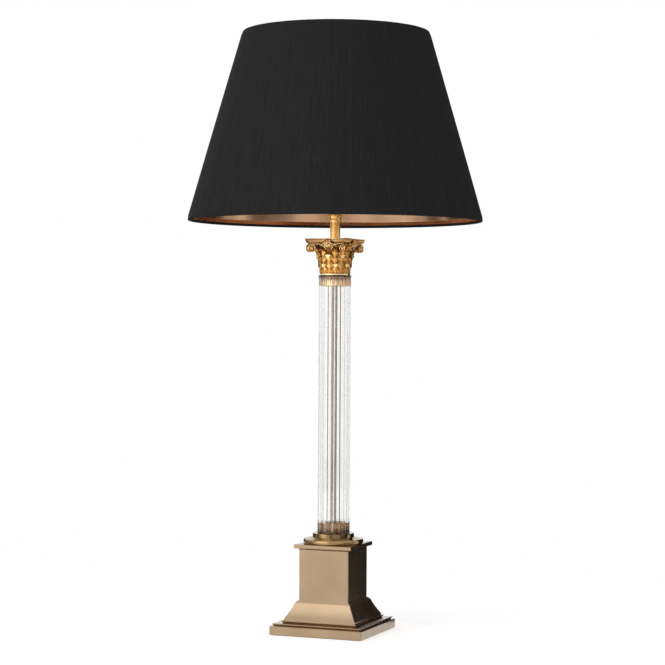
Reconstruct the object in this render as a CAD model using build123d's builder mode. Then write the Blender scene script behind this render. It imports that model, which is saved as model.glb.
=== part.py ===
from build123d import *

import math
import os

# Column table lamp: a square stepped pedestal, a fluted glass column between two brass cups,
# a gilt Corinthian capital and an empire shade on a wire carrier.
# Millimetres. The origin is the middle of the felt underside, +Z is up and -Y is the front.

# ---- Pedestal, square in plan, so every width here is the full side ----
FELT_THICK = 0.8
FELT_SIDE = 146.0
FELT_CORNER = 2.0
SLAB_SIDE = 150.0
SLAB_TOP = 14.0
SLAB_CHAMFER = 0.8
POCKET_SIDE = 100.0
POCKET_TOP = 9.5
POCKET_CORNER = 6.0
FIRST_STEP_SIDE = 143.4
SECOND_STEP_SIDE = 122.0
STEP_HEIGHT = 3.7
STEP_CHAMFER = 0.5
CAVETTO_FOOT_SIDE = 116.0
CAVETTO_HEAD_SIDE = 90.0
CAVETTO_FOOT_LEDGE = 2.6
CAVETTO_HEAD_Z = 47.5
CAVETTO_SAGITTA = 0.7
CAVETTO_WALL = 4.0
CAVETTO_CORNER_CHAMFER = 0.5
FILLET_SIDE = 88.6
FILLET_TOP = 49.0
DIE_LEDGE_SIDE = 85.0
DIE_FOOT_Z = 50.5
DIE_SIDE = 80.8
DIE_WALL = 3.0
DIE_EDGE_CHAMFER = 0.8
DIE_BEVEL_Z = 128.7
DIE_BEVEL_SIDE = 85.4
DIE_TOP = 130.9
CAP_SIDE = 93.6
CAP_TOP = 136.8
CAP_CHAMFER = 0.6
WEIGHT_SIDE = 70.0
WEIGHT_HEIGHT = 38.0
WEIGHT_BORE_RADIUS = 8.0
WEIGHT_CHAMFER = 2.0

# ---- Cord inlet at the back of the slab ----
INLET_Z = 5.9
INLET_BORE_RADIUS = 2.8
BUSH_RADIUS = 3.5
BUSH_FLANGE_RADIUS = 4.5
BUSH_FLANGE_THICK = 1.5

# ---- Discs under the column ----
BASE_DISC_RADIUS = 46.4
BASE_DISC_EDGE_TOP = 144.0
BASE_DISC_TOP = 146.5
BASE_DISC_BULGE = 1.4
BASE_DISC_COVE = 0.6
BASE_DISC_LAND = 1.0
SEAT_DISC_RADIUS = 32.0
SEAT_DISC_TOP = 152.6
SEAT_DISC_CHAMFER = 0.4

# ---- Glass column and what runs through it ----
GASKET_THICK = 0.6
GASKET_RIM_GAP = 0.4
GASKET_BORE_GAP = 0.2
GLASS_RADIUS = 25.4
GLASS_BORE_RADIUS = 21.4
FLUTE_COUNT = 18
FLUTE_DEPTH = 1.45
COLUMN_TOP = 548.0
SLEEVE_RADIUS = 21.3
SLEEVE_WALL = 0.9
SLEEVE_FLOOR = 1.2
LOWER_SLEEVE_TOP = 169.0
UPPER_SLEEVE_FOOT = 533.0
TUBE_RADIUS = 5.6
TUBE_BORE_RADIUS = 5.15
ROD_RADIUS = 4.95
ROD_BORE_RADIUS = 3.5
ROD_FOOT = 3.0
ROD_TOP = 652.0
ROD_PASSAGE_RADIUS = 5.15
NUT_ACROSS_FLATS = 17.0
NUT_THICK = 4.0
WASHER_RADIUS = 14.0
WASHER_THICK = 1.5

# ---- Capital ----
TOP_PLATE_RADIUS = 26.0
TOP_PLATE_THICK = 1.5
NECK_BAND_RADIUS = 23.9
NECK_BAND_THICK = 3.0
BELL_FOOT_RADIUS = 22.0
BELL_WAIST_RADIUS = 23.2
BELL_LIP_RADIUS = 31.0
BELL_FLARE_SAGITTA = 2.5
BELL_LIP_HEIGHT = 2.0
LEAVES_PER_ROW = 8
LEAF_THICK = 1.7
LEAF_RIB_WIDTH = 1.8
LEAF_RIB_PROUD = 0.5
LEAF_ROOT_DEPTH = 0.5
LOWER_LEAF_FOOT_RADIUS = 22.6
LOWER_LEAF_WIDTH = 15.0
LOWER_LEAF_RISE = 9.5
LOWER_LEAF_LEAN = 0.3
LOWER_LEAF_CURL = 1.6
UPPER_LEAF_FOOT_RADIUS = 22.0
UPPER_LEAF_WIDTH = 15.5
UPPER_LEAF_RISE = 23.5
UPPER_LEAF_LEAN = 2.4
UPPER_LEAF_CURL = 2.5
LEAF_CURL_ANGLE = 205.0
LEAF_STEM_SHARE = 0.575
LEAF_LOBES = ((0.22, 0.52), (0.5, 0.56), (0.77, 0.5))
LEAF_LOBE_WIDTH_SHARE = 0.42
LEAF_LOBE_HEIGHT_SHARE = 0.155
LEAF_TIP_DEPTH_SHARE = 1.2
LEAF_TIP_WIDTH_SHARE = 1.25
ABACUS_FOOT = 598.5
ABACUS_TOP = 606.0
ABACUS_CORNER_RADIUS = 50.8
ABACUS_CORNER_CUT = 7.0
ABACUS_SIDE_DISTANCE = 31.5
ABACUS_FILLET = 3.2
ABACUS_TAPER = 42.0
VOLUTE_REACH = 48.5
VOLUTE_RADIUS = 7.75
VOLUTE_BAND = 1.8
VOLUTE_WIDTH = 3.8
VOLUTE_SPREAD = 27.0
VOLUTE_OFFSET = 5.4
VOLUTE_RUN = 8.0
VOLUTE_SHRINK = 0.7
VOLUTE_STALK_RADIUS = 14.0
VOLUTE_STALK_TURN = 65.0
VOLUTE_EYE_RADIUS = 1.7
VOLUTE_EYE_PROUD = 0.7
VOLUTE_EYE_PLACE = (0.4, -1.1)
FLEURON_Z = 599.2
FLEURON_PETALS = 6
FLEURON_THICK = 3.0
FLEURON_SUNK = 3.5
FLEURON_PETAL_REACH = 3.6
FLEURON_PETAL_RADIUS = 2.2
FLEURON_HEART_RADIUS = 2.9
FLEURON_BUTTON_RADIUS = 2.1
FLEURON_BUTTON_PROUD = 1.2

# ---- Neck and lampholder ----
NECK_RADIUS = 7.9
NECK_TOP = 635.0
NECK_FLARE = 0.5
NECK_FLARE_HEIGHT = 4.0
COLLAR_RADIUS = 9.9
COLLAR_TOP = 643.0
COLLAR_FOOT_RADIUS = 8.1
COLLAR_RIM_HEIGHT = 1.5
COLLAR_SAGITTA = 0.5
HOLDER_ENTRY_RADIUS = 7.6
HOLDER_CAP_FOOT = 643.0
HOLDER_RADIUS = 19.0
HOLDER_CAP_TOP = 664.0
HOLDER_WALL = 1.0
HOLDER_CAP_SIDE_HEIGHT = 10.0
HOLDER_ENTRY_HEIGHT = 4.0
HOLDER_ENTRY_FLOOR = 2.0
HOLDER_DOME_SAGITTA = 2.4
HOLDER_SHOULDER_RADIUS = 21.5
HOLDER_SHOULDER_THICK = 1.5
SKIRT_TOP = 697.0
CORE_FOOT = 665.0
CORE_TOP = 671.0
SHELL_RADIUS = 14.4
SHELL_BORE_RADIUS = 13.6
SHELL_TOP = 695.0
CONTACT_RADIUS = 4.0
CONTACT_THICK = 1.6
CONTACT_CONE = 1.0
SWITCH_BAR_RADIUS = 2.5
SWITCH_BAR_LENGTH = 50.0
SWITCH_BAR_ROUND = 0.8
SWITCH_HOLE_CLEARANCE = 0.08
SWITCH_TRAVEL = 6.0
SWITCH_Z = 658.0

# ---- Shade ring, carrier and bulb ----
SHADE_RING_RADIUS = 23.8
SHADE_RING_THICK = 5.0
SHADE_RING_CLEARANCE = 0.3
SHADE_RING_GRIPS = 12
SHADE_RING_GRIP_RADIUS = 2.0
SHADE_RING_GRIP_OUT = 1.2
CARRIER_PLATE_RADIUS = 28.5
CARRIER_PLATE_THICK = 1.6
CARRIER_WIRE_RADIUS = 1.6
CARRIER_BOW = 46.0
CARRIER_FOOT_REACH = 26.6
CARRIER_HEAD_REACH = 5.0
CARRIER_TOP = 886.0
CARRIER_ANKLE = 44.0
CARRIER_ANKLE_RISE = 18.0
CARRIER_SHOULDER_Z = 768.0
CARRIER_ANKLE_BEND = 12.0
CARRIER_SHOULDER_BEND = 60.0
SADDLE_RADIUS = 7.0
SADDLE_THICK = 4.0
STUD_RADIUS = 3.0
STUD_TOP = 903.0
STUD_CHAMFER = 0.6
STUD_CLEARANCE = 0.4
BULB_CAP_RADIUS = 13.3
BULB_CAP_FOOT = 673.2
BULB_CAP_TOP = 698.0
BULB_CAP_TIP_RADIUS = 3.5
BULB_CAP_TIP_HEIGHT = 1.6
BULB_CAP_INSULATOR_RADIUS = 5.0
BULB_CAP_CONE_HEIGHT = 3.2
BULB_CAP_CHAMFER = 2.5
BULB_CAP_SIDE_FOOT = 5.0
BULB_NECK_RADIUS = 15.0
BULB_RADIUS = 30.0
BULB_CENTRE_Z = 748.0
BULB_GLASS_THICK = 1.0
BULB_NECK_HEIGHT = 4.0
BULB_SHOULDER_SAGITTA = 1.6
BULB_SHOULDER_ANGLE = -38.0
BULB_CROWN_ANGLE = 35.0

# ---- Shade ----
SHADE_FOOT_RADIUS = 228.6
SHADE_TOP_RADIUS = 144.9
SHADE_FOOT_Z = 633.4
SHADE_TOP_Z = 923.4
COVER_THICK = 1.0
LINING_THICK = 0.5
SHADE_WIRE_RADIUS = 1.5
SPIDER_HUB_RADIUS = 12.0
SPIDER_HUB_THICK = 1.6
SPIDER_HUB_GAP = 0.1
SPIDER_ARMS = 3
SPIDER_WIRE_RADIUS = 1.4
SPIDER_ROOT = 3.0
SPIDER_KNEE = 34.0
SPIDER_KNEE_RISE = 3.0
SPIDER_BEND = 30.0
FINIAL_GAP = 0.1
FINIAL_HEIGHT = 20.0
FINIAL_RADIUS = 7.0
FINIAL_FOOT_RADIUS = 6.6
FINIAL_FOOT_HEIGHT = 2.0
FINIAL_WAIST_RADIUS = 4.6
FINIAL_COVE = 0.8

# ---- Levels worked out from the sizes above ----
STEPS_TOP = SLAB_TOP + 2 * STEP_HEIGHT
GLASS_FOOT = SEAT_DISC_TOP + GASKET_THICK
GLASS_TOP = COLUMN_TOP - GASKET_THICK
CAPITAL_FOOT = COLUMN_TOP + TOP_PLATE_THICK
LEAF_FOOT = CAPITAL_FOOT + NECK_BAND_THICK
WASHER_FOOT = POCKET_TOP - WASHER_THICK
NUT_FOOT = WASHER_FOOT - NUT_THICK
CARRIER_PLATE_FOOT = HOLDER_CAP_TOP + HOLDER_SHOULDER_THICK
SHADE_RING_FOOT = CARRIER_PLATE_FOOT + CARRIER_PLATE_THICK + SHADE_RING_CLEARANCE
SADDLE_TOP = CARRIER_TOP + SADDLE_THICK
HUB_FOOT = SADDLE_TOP + SPIDER_HUB_GAP
HUB_TOP = HUB_FOOT + SPIDER_HUB_THICK
FINIAL_FOOT = HUB_TOP + FINIAL_GAP
SHADE_SLOPE = (SHADE_FOOT_RADIUS - SHADE_TOP_RADIUS) / (SHADE_TOP_Z - SHADE_FOOT_Z)

os.makedirs("parts", exist_ok=True)


def save(piece, name):
    """Label one finished piece and write it."""
    piece.label = name
    export_step(piece, f"parts/{name}.step")


def square_moulding(outline):
    """A square moulding: the outline from the axis outwards, run along both directions."""
    with BuildPart() as moulding:
        for plane, mode in ((Plane.XZ, Mode.ADD), (Plane.YZ, Mode.INTERSECT)):
            with BuildSketch(plane):
                with BuildLine():
                    half = outline()
                    mirror(half, about=Plane.YZ)
                make_face()
            extrude(amount=SLAB_SIDE, both=True, mode=mode)
    return moulding.part


# ==== Pedestal ====

with BuildPart() as felt_pad:
    with BuildSketch():
        RectangleRounded(FELT_SIDE, FELT_SIDE, FELT_CORNER)
    extrude(amount=FELT_THICK)
save(felt_pad.part, "felt_pad")

with BuildPart() as plinth_slab:
    with BuildSketch(Plane.XY.offset(FELT_THICK)):
        Rectangle(SLAB_SIDE, SLAB_SIDE)
    extrude(amount=SLAB_TOP - FELT_THICK)
    slab_rim = plinth_slab.faces().sort_by(Axis.Z)[-1].edges()
    chamfer(slab_rim + plinth_slab.edges().filter_by(Axis.Z), SLAB_CHAMFER)
    with BuildSketch(Plane.XY.offset(FELT_THICK)):
        RectangleRounded(POCKET_SIDE, POCKET_SIDE, POCKET_CORNER)
    extrude(amount=POCKET_TOP - FELT_THICK, mode=Mode.SUBTRACT)
    with BuildSketch(Plane.XY.offset(POCKET_TOP)):
        Circle(ROD_PASSAGE_RADIUS)
    extrude(amount=SLAB_TOP - POCKET_TOP, mode=Mode.SUBTRACT)
    with BuildSketch(Plane.XZ.offset(-SLAB_SIDE / 2)):
        with Locations((0, INLET_Z)):
            Circle(BUSH_RADIUS)
    extrude(amount=(SLAB_SIDE - POCKET_SIDE) / 2 + 1, mode=Mode.SUBTRACT)
save(plinth_slab.part, "plinth_slab")

with BuildPart() as cord_bush:
    with BuildSketch(Plane.XZ.offset(-SLAB_SIDE / 2 - BUSH_FLANGE_THICK)):
        with Locations((0, INLET_Z)):
            Circle(BUSH_FLANGE_RADIUS)
    extrude(amount=BUSH_FLANGE_THICK)
    with BuildSketch(Plane.XZ.offset(-SLAB_SIDE / 2)):
        with Locations((0, INLET_Z)):
            Circle(BUSH_RADIUS)
    extrude(amount=(SLAB_SIDE - POCKET_SIDE) / 2)
    with BuildSketch(Plane.XZ.offset(-SLAB_SIDE / 2 - BUSH_FLANGE_THICK)):
        with Locations((0, INLET_Z)):
            Circle(INLET_BORE_RADIUS)
    extrude(amount=(SLAB_SIDE - POCKET_SIDE) / 2 + BUSH_FLANGE_THICK, mode=Mode.SUBTRACT)
save(cord_bush.part, "cord_bush")

with BuildPart() as bottom_washer:
    with BuildSketch(Plane.XY.offset(WASHER_FOOT)):
        Circle(WASHER_RADIUS)
        Circle(ROD_PASSAGE_RADIUS, mode=Mode.SUBTRACT)
    extrude(amount=WASHER_THICK)
save(bottom_washer.part, "bottom_washer")

with BuildPart() as bottom_nut:
    with BuildSketch(Plane.XY.offset(NUT_FOOT)):
        RegularPolygon(NUT_ACROSS_FLATS / 2, 6, major_radius=False)
        Circle(ROD_RADIUS, mode=Mode.SUBTRACT)
    extrude(amount=NUT_THICK)
save(bottom_nut.part, "bottom_nut")

with BuildPart() as plinth_steps:
    for step, side in enumerate((FIRST_STEP_SIDE, SECOND_STEP_SIDE)):
        with BuildSketch(Plane.XY.offset(SLAB_TOP + step * STEP_HEIGHT)):
            Rectangle(side, side)
        extrude(amount=STEP_HEIGHT)
        step_rim = plinth_steps.faces().sort_by(Axis.Z)[-1].edges()
        chamfer(step_rim, STEP_CHAMFER)
    chamfer(plinth_steps.edges().filter_by(Axis.Z), STEP_CHAMFER)
    with BuildSketch(Plane.XY.offset(SLAB_TOP)):
        Circle(ROD_PASSAGE_RADIUS)
    extrude(amount=2 * STEP_HEIGHT, mode=Mode.SUBTRACT)
save(plinth_steps.part, "plinth_steps")


def cavetto_outline():
    """Half the moulding's section: a foot ledge, a shallow hollow curve, a fillet and a ledge."""
    foot, head = CAVETTO_FOOT_SIDE / 2, CAVETTO_HEAD_SIDE / 2
    fillet, ledge = FILLET_SIDE / 2, DIE_LEDGE_SIDE / 2
    ledge_z = STEPS_TOP + CAVETTO_FOOT_LEDGE
    rise = Polyline((0, STEPS_TOP), (foot, STEPS_TOP), (foot, ledge_z))
    hollow = SagittaArc((foot, ledge_z), (head, CAVETTO_HEAD_Z), CAVETTO_SAGITTA)
    top = Polyline(
        (head, CAVETTO_HEAD_Z),
        (fillet, CAVETTO_HEAD_Z),
        (fillet, FILLET_TOP),
        (ledge, FILLET_TOP),
        (ledge, DIE_FOOT_Z),
        (0, DIE_FOOT_Z),
    )
    return [rise, hollow, top]


with BuildPart() as cavetto_moulding:
    add(square_moulding(cavetto_outline))
    corner_edges = [e for e in cavetto_moulding.edges() if e.bounding_box().size.Z > STEP_CHAMFER]
    chamfer(corner_edges, CAVETTO_CORNER_CHAMFER)
    with BuildSketch(Plane.XY.offset(STEPS_TOP)):
        Rectangle(CAVETTO_FOOT_SIDE - 2 * CAVETTO_WALL, CAVETTO_FOOT_SIDE - 2 * CAVETTO_WALL)
    with BuildSketch(Plane.XY.offset(DIE_FOOT_Z)):
        Rectangle(DIE_SIDE - 2 * CAVETTO_WALL, DIE_SIDE - 2 * CAVETTO_WALL)
    loft(mode=Mode.SUBTRACT)
save(cavetto_moulding.part, "cavetto_moulding")

with BuildPart() as base_weight:
    with BuildSketch(Plane.XY.offset(STEPS_TOP)):
        Rectangle(WEIGHT_SIDE, WEIGHT_SIDE)
        Circle(WEIGHT_BORE_RADIUS, mode=Mode.SUBTRACT)
    extrude(amount=WEIGHT_HEIGHT)
    chamfer(base_weight.faces().sort_by(Axis.Z)[-1].outer_wire().edges(), WEIGHT_CHAMFER)
save(base_weight.part, "base_weight")

with BuildPart() as pedestal_die:
    with BuildSketch(Plane.XY.offset(DIE_FOOT_Z)):
        Rectangle(DIE_SIDE, DIE_SIDE)
    extrude(amount=DIE_BEVEL_Z - DIE_FOOT_Z)
    chamfer(pedestal_die.edges().filter_by(Axis.Z), DIE_EDGE_CHAMFER)
    with BuildSketch(Plane.XY.offset(DIE_BEVEL_Z)):
        Rectangle(DIE_SIDE - DIE_EDGE_CHAMFER, DIE_SIDE - DIE_EDGE_CHAMFER)
    with BuildSketch(Plane.XY.offset(DIE_TOP)):
        Rectangle(DIE_BEVEL_SIDE, DIE_BEVEL_SIDE)
    loft()
    with BuildSketch(Plane.XY.offset(DIE_FOOT_Z)):
        Rectangle(DIE_SIDE - 2 * DIE_WALL, DIE_SIDE - 2 * DIE_WALL)
    extrude(amount=DIE_TOP - DIE_FOOT_Z, mode=Mode.SUBTRACT)
save(pedestal_die.part, "pedestal_die")

with BuildPart() as pedestal_cap:
    with BuildSketch(Plane.XY.offset(DIE_TOP)):
        Rectangle(CAP_SIDE, CAP_SIDE)
    extrude(amount=CAP_TOP - DIE_TOP)
    chamfer(pedestal_cap.edges(), CAP_CHAMFER)
    with BuildSketch(Plane.XY.offset(DIE_TOP)):
        Circle(ROD_PASSAGE_RADIUS)
    extrude(amount=CAP_TOP - DIE_TOP, mode=Mode.SUBTRACT)
save(pedestal_cap.part, "pedestal_cap")

# ==== Discs, column and the rod that clamps the stack ====

with BuildPart() as column_base_disc:
    with BuildSketch(Plane.XZ):
        with BuildLine():
            edge = BASE_DISC_RADIUS - BASE_DISC_BULGE
            inner = SEAT_DISC_RADIUS + BASE_DISC_LAND
            under = Line((ROD_PASSAGE_RADIUS, CAP_TOP), (edge, CAP_TOP))
            bullnose = ThreePointArc(
                (edge, CAP_TOP),
                (BASE_DISC_RADIUS, (CAP_TOP + BASE_DISC_EDGE_TOP) / 2),
                (edge, BASE_DISC_EDGE_TOP),
            )
            cove = SagittaArc((edge, BASE_DISC_EDGE_TOP), (inner, BASE_DISC_TOP), BASE_DISC_COVE)
            top = Polyline(
                (inner, BASE_DISC_TOP),
                (ROD_PASSAGE_RADIUS, BASE_DISC_TOP),
                (ROD_PASSAGE_RADIUS, CAP_TOP),
            )
        make_face()
    revolve(axis=Axis.Z)
save(column_base_disc.part, "column_base_disc")

with BuildPart() as column_seat_disc:
    with BuildSketch(Plane.XY.offset(BASE_DISC_TOP)):
        Circle(SEAT_DISC_RADIUS)
        Circle(ROD_PASSAGE_RADIUS, mode=Mode.SUBTRACT)
    extrude(amount=SEAT_DISC_TOP - BASE_DISC_TOP)
    seat_rim = column_seat_disc.faces().sort_by(Axis.Z)[-1].outer_wire().edges()
    chamfer(seat_rim, SEAT_DISC_CHAMFER)
save(column_seat_disc.part, "column_seat_disc")


def gasket(name, foot):
    """A soft ring between the glass and the metal."""
    with BuildPart() as ring:
        with BuildSketch(Plane.XY.offset(foot)):
            Circle(GLASS_RADIUS - FLUTE_DEPTH - GASKET_RIM_GAP)
            Circle(GLASS_BORE_RADIUS + GASKET_BORE_GAP, mode=Mode.SUBTRACT)
        extrude(amount=GASKET_THICK)
    save(ring.part, name)


gasket("lower_gasket", SEAT_DISC_TOP)
gasket("upper_gasket", GLASS_TOP)


def flute_points(index):
    """The two arrises of a flute and the bottom of its hollow between them."""
    pitch = 360 / FLUTE_COUNT
    start = -90 + index * pitch
    places = ((0, GLASS_RADIUS), (pitch / 2, GLASS_RADIUS - FLUTE_DEPTH), (pitch, GLASS_RADIUS))
    return [Vector(radius, 0).rotate(Axis.Z, start + turn) for turn, radius in places]


with BuildPart() as glass_column:
    with BuildSketch(Plane.XY.offset(GLASS_FOOT)):
        with BuildLine():
            for flute in range(FLUTE_COUNT):
                ThreePointArc(*flute_points(flute))
        make_face()
        Circle(GLASS_BORE_RADIUS, mode=Mode.SUBTRACT)
    extrude(amount=GLASS_TOP - GLASS_FOOT)
save(glass_column.part, "glass_column")


def sleeve(name, floor_z, rim_z):
    """A turned cup that centres one end of the glass: a floor on the rod side and a thin wall."""
    inwards = math.copysign(1, rim_z - floor_z)
    floor_top = floor_z + inwards * SLEEVE_FLOOR
    inner = SLEEVE_RADIUS - SLEEVE_WALL
    with BuildPart() as cup:
        with BuildSketch(Plane.XZ):
            with BuildLine():
                Polyline(
                    (TUBE_RADIUS, floor_z),
                    (SLEEVE_RADIUS, floor_z),
                    (SLEEVE_RADIUS, rim_z),
                    (inner, rim_z),
                    (inner, floor_top),
                    (TUBE_RADIUS, floor_top),
                    close=True,
                )
            make_face()
        revolve(axis=Axis.Z)
    save(cup.part, name)


sleeve("lower_sleeve", SEAT_DISC_TOP, LOWER_SLEEVE_TOP)
sleeve("upper_sleeve", COLUMN_TOP, UPPER_SLEEVE_FOOT)


def tube(name, radius, bore, foot, top):
    """A plain round tube on the column's axis."""
    with BuildPart() as pipe:
        with BuildSketch(Plane.XY.offset(foot)):
            Circle(radius)
            Circle(bore, mode=Mode.SUBTRACT)
        extrude(amount=top - foot)
    save(pipe.part, name)


tube("centre_tube", TUBE_RADIUS, TUBE_BORE_RADIUS, SEAT_DISC_TOP, COLUMN_TOP)
tube("threaded_rod", ROD_RADIUS, ROD_BORE_RADIUS, ROD_FOOT, ROD_TOP)
tube("column_top_plate", TOP_PLATE_RADIUS, ROD_PASSAGE_RADIUS, COLUMN_TOP, CAPITAL_FOOT)

# ==== Capital ====


def acanthus_leaf(foot_radius, width, rise, lean, curl):
    """One leaf on the +X side: a band that climbs and curls over, cut to a lobed outline.

    Its side view is the band, its front view a stem with three lobes to a side, each given as
    shares of the leaf's height and half width, and its plan a rounded tip.
    """
    half = width / 2
    root = LEAF_FOOT - LEAF_ROOT_DEPTH
    reach = lean + 2 * curl + LEAF_THICK
    top = LEAF_FOOT + rise + curl + LEAF_THICK
    with BuildPart() as leaf:
        for thick, across in (
            (LEAF_THICK, width),
            (LEAF_THICK + 2 * LEAF_RIB_PROUD, LEAF_RIB_WIDTH),
        ):
            with BuildSketch(Plane.XZ):
                with BuildLine():
                    stem = Line(
                        (foot_radius, root),
                        (foot_radius + lean, LEAF_FOOT + rise),
                    )
                    JernArc(stem @ 1, stem % 1, curl, -LEAF_CURL_ANGLE)
                trace(line_width=thick)
            extrude(amount=across / 2, both=True)
        with BuildSketch(Plane.YZ):
            with Locations((0, (root + top) / 2)):
                Rectangle(LEAF_STEM_SHARE * width, top - root)
            for level, share in LEAF_LOBES:
                height = LEAF_FOOT + level * (top - LEAF_FOOT)
                with Locations((half * share, height), (-half * share, height)):
                    Ellipse(half * LEAF_LOBE_WIDTH_SHARE, (top - LEAF_FOOT) * LEAF_LOBE_HEIGHT_SHARE)
        extrude(amount=foot_radius + reach + LEAF_THICK, mode=Mode.INTERSECT)
        with BuildSketch(Plane.XY.offset(root)):
            with Locations((foot_radius - LEAF_THICK, 0)):
                Ellipse(reach + LEAF_THICK * LEAF_TIP_DEPTH_SHARE, half * LEAF_TIP_WIDTH_SHARE)
        extrude(amount=top - root, mode=Mode.INTERSECT)
    return leaf.part


def corner_scroll(side):
    """One of the two ribbons of a corner volute, beside the +X direction.

    It rises from the bell, runs under the abacus and winds in by half circles to a round eye.
    """
    turn = math.radians(VOLUTE_SPREAD)
    along = Vector(math.cos(turn), -side * math.sin(turn), 0)
    eye = VOLUTE_REACH - VOLUTE_RADIUS * math.cos(turn)
    middle = VOLUTE_RADIUS - VOLUTE_BAND / 2
    ribbon = Plane(
        origin=(eye, side * VOLUTE_OFFSET, ABACUS_FOOT - VOLUTE_RADIUS),
        x_dir=along,
        z_dir=along.cross(Vector(0, 0, 1)),
    )
    with BuildPart() as scroll:
        with BuildSketch(ribbon):
            with BuildLine():
                run = Line((0, middle), (-VOLUTE_RUN, middle))
                JernArc(run @ 1, run % 1, VOLUTE_STALK_RADIUS, VOLUTE_STALK_TURN)
                bend = JernArc((0, middle), (1, 0), middle, -180)
                for step in (1, 2, 3):
                    bend = JernArc(bend @ 1, bend % 1, middle * VOLUTE_SHRINK**step, -180)
            trace(line_width=VOLUTE_BAND)
        extrude(amount=VOLUTE_WIDTH / 2, both=True)
        with BuildSketch(ribbon):
            with Locations(VOLUTE_EYE_PLACE):
                Circle(VOLUTE_EYE_RADIUS)
        extrude(amount=VOLUTE_WIDTH / 2 + VOLUTE_EYE_PROUD, both=True)
    return scroll.part


lower_leaf = acanthus_leaf(
    LOWER_LEAF_FOOT_RADIUS,
    LOWER_LEAF_WIDTH,
    LOWER_LEAF_RISE,
    LOWER_LEAF_LEAN,
    LOWER_LEAF_CURL,
)
upper_leaf = acanthus_leaf(
    UPPER_LEAF_FOOT_RADIUS,
    UPPER_LEAF_WIDTH,
    UPPER_LEAF_RISE,
    UPPER_LEAF_LEAN,
    UPPER_LEAF_CURL,
)

with BuildPart() as capital_casting:
    with BuildSketch(Plane.XZ):
        with BuildLine():
            band = Polyline(
                (ROD_PASSAGE_RADIUS, CAPITAL_FOOT),
                (NECK_BAND_RADIUS, CAPITAL_FOOT),
                (NECK_BAND_RADIUS, LEAF_FOOT),
                (BELL_FOOT_RADIUS, LEAF_FOOT),
            )
            waist_z = LEAF_FOOT + UPPER_LEAF_RISE
            wall = Line((BELL_FOOT_RADIUS, LEAF_FOOT), (BELL_WAIST_RADIUS, waist_z))
            lip_z = ABACUS_FOOT - BELL_LIP_HEIGHT
            flare = SagittaArc(
                (BELL_WAIST_RADIUS, waist_z), (BELL_LIP_RADIUS, lip_z), BELL_FLARE_SAGITTA
            )
            lip = Polyline(
                (BELL_LIP_RADIUS, lip_z),
                (BELL_LIP_RADIUS, ABACUS_FOOT),
                (ROD_PASSAGE_RADIUS, ABACUS_FOOT),
                (ROD_PASSAGE_RADIUS, CAPITAL_FOOT),
            )
        make_face()
    revolve(axis=Axis.Z)
    with PolarLocations(0, LEAVES_PER_ROW):
        add(upper_leaf)
    with PolarLocations(0, LEAVES_PER_ROW, start_angle=180 / LEAVES_PER_ROW):
        add(lower_leaf)
    for side in (-1, 1):
        scroll = corner_scroll(side)
        with PolarLocations(0, 4, start_angle=45):
            add(scroll)
save(capital_casting.part, "capital_casting")


def abacus_corner(index):
    """The two ends of the cut corner on diagonal number index."""
    diagonal = 45 + 90 * index
    across = (-ABACUS_CORNER_CUT / 2, ABACUS_CORNER_CUT / 2)
    return [Vector(ABACUS_CORNER_RADIUS, y).rotate(Axis.Z, diagonal) for y in across]


with BuildPart() as abacus:
    with BuildSketch(Plane.XY.offset(ABACUS_TOP - ABACUS_FILLET)) as abacus_plan:
        with BuildLine():
            for corner in range(4):
                near, far = abacus_corner(corner)
                following = abacus_corner(corner + 1)[0]
                Line(near, far)
                middle = Vector(ABACUS_SIDE_DISTANCE, 0).rotate(Axis.Z, 90 * (corner + 1))
                ThreePointArc(far, middle, following)
        make_face()
    extrude(amount=ABACUS_FILLET)
    lower_face = abacus.faces().sort_by(Axis.Z)[0]
    extrude(lower_face, amount=ABACUS_TOP - ABACUS_FILLET - ABACUS_FOOT, taper=ABACUS_TAPER)
    with BuildSketch(Plane.XY.offset(ABACUS_FOOT)):
        Circle(ROD_PASSAGE_RADIUS)
    extrude(amount=ABACUS_TOP - ABACUS_FOOT, mode=Mode.SUBTRACT)
save(abacus.part, "abacus")

with BuildPart() as fleuron:
    front = Plane(
        origin=(ABACUS_SIDE_DISTANCE - FLEURON_SUNK, 0, FLEURON_Z),
        x_dir=(0, 1, 0),
        z_dir=(1, 0, 0),
    )
    with BuildSketch(front):
        Circle(FLEURON_HEART_RADIUS)
        with PolarLocations(FLEURON_PETAL_REACH, FLEURON_PETALS, start_angle=180 / FLEURON_PETALS):
            Circle(FLEURON_PETAL_RADIUS)
    extrude(amount=FLEURON_SUNK + FLEURON_THICK)
    with BuildSketch(front):
        Circle(FLEURON_BUTTON_RADIUS)
    extrude(amount=FLEURON_SUNK + FLEURON_THICK + FLEURON_BUTTON_PROUD)

with BuildPart() as fleurons:
    with PolarLocations(0, 4):
        add(fleuron.part)
    add(abacus.part, mode=Mode.SUBTRACT)
    add(capital_casting.part, mode=Mode.SUBTRACT)
save(fleurons.part, "fleurons")

# ==== Neck and lampholder ====


def turned(name, *sections):
    """Revolve closed outlines given as lists of radius and height corners."""
    with BuildPart() as piece:
        for corners in sections:
            with BuildSketch(Plane.XZ):
                with BuildLine():
                    Polyline(*corners, close=True)
                make_face()
            revolve(axis=Axis.Z)
    save(piece.part, name)


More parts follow.
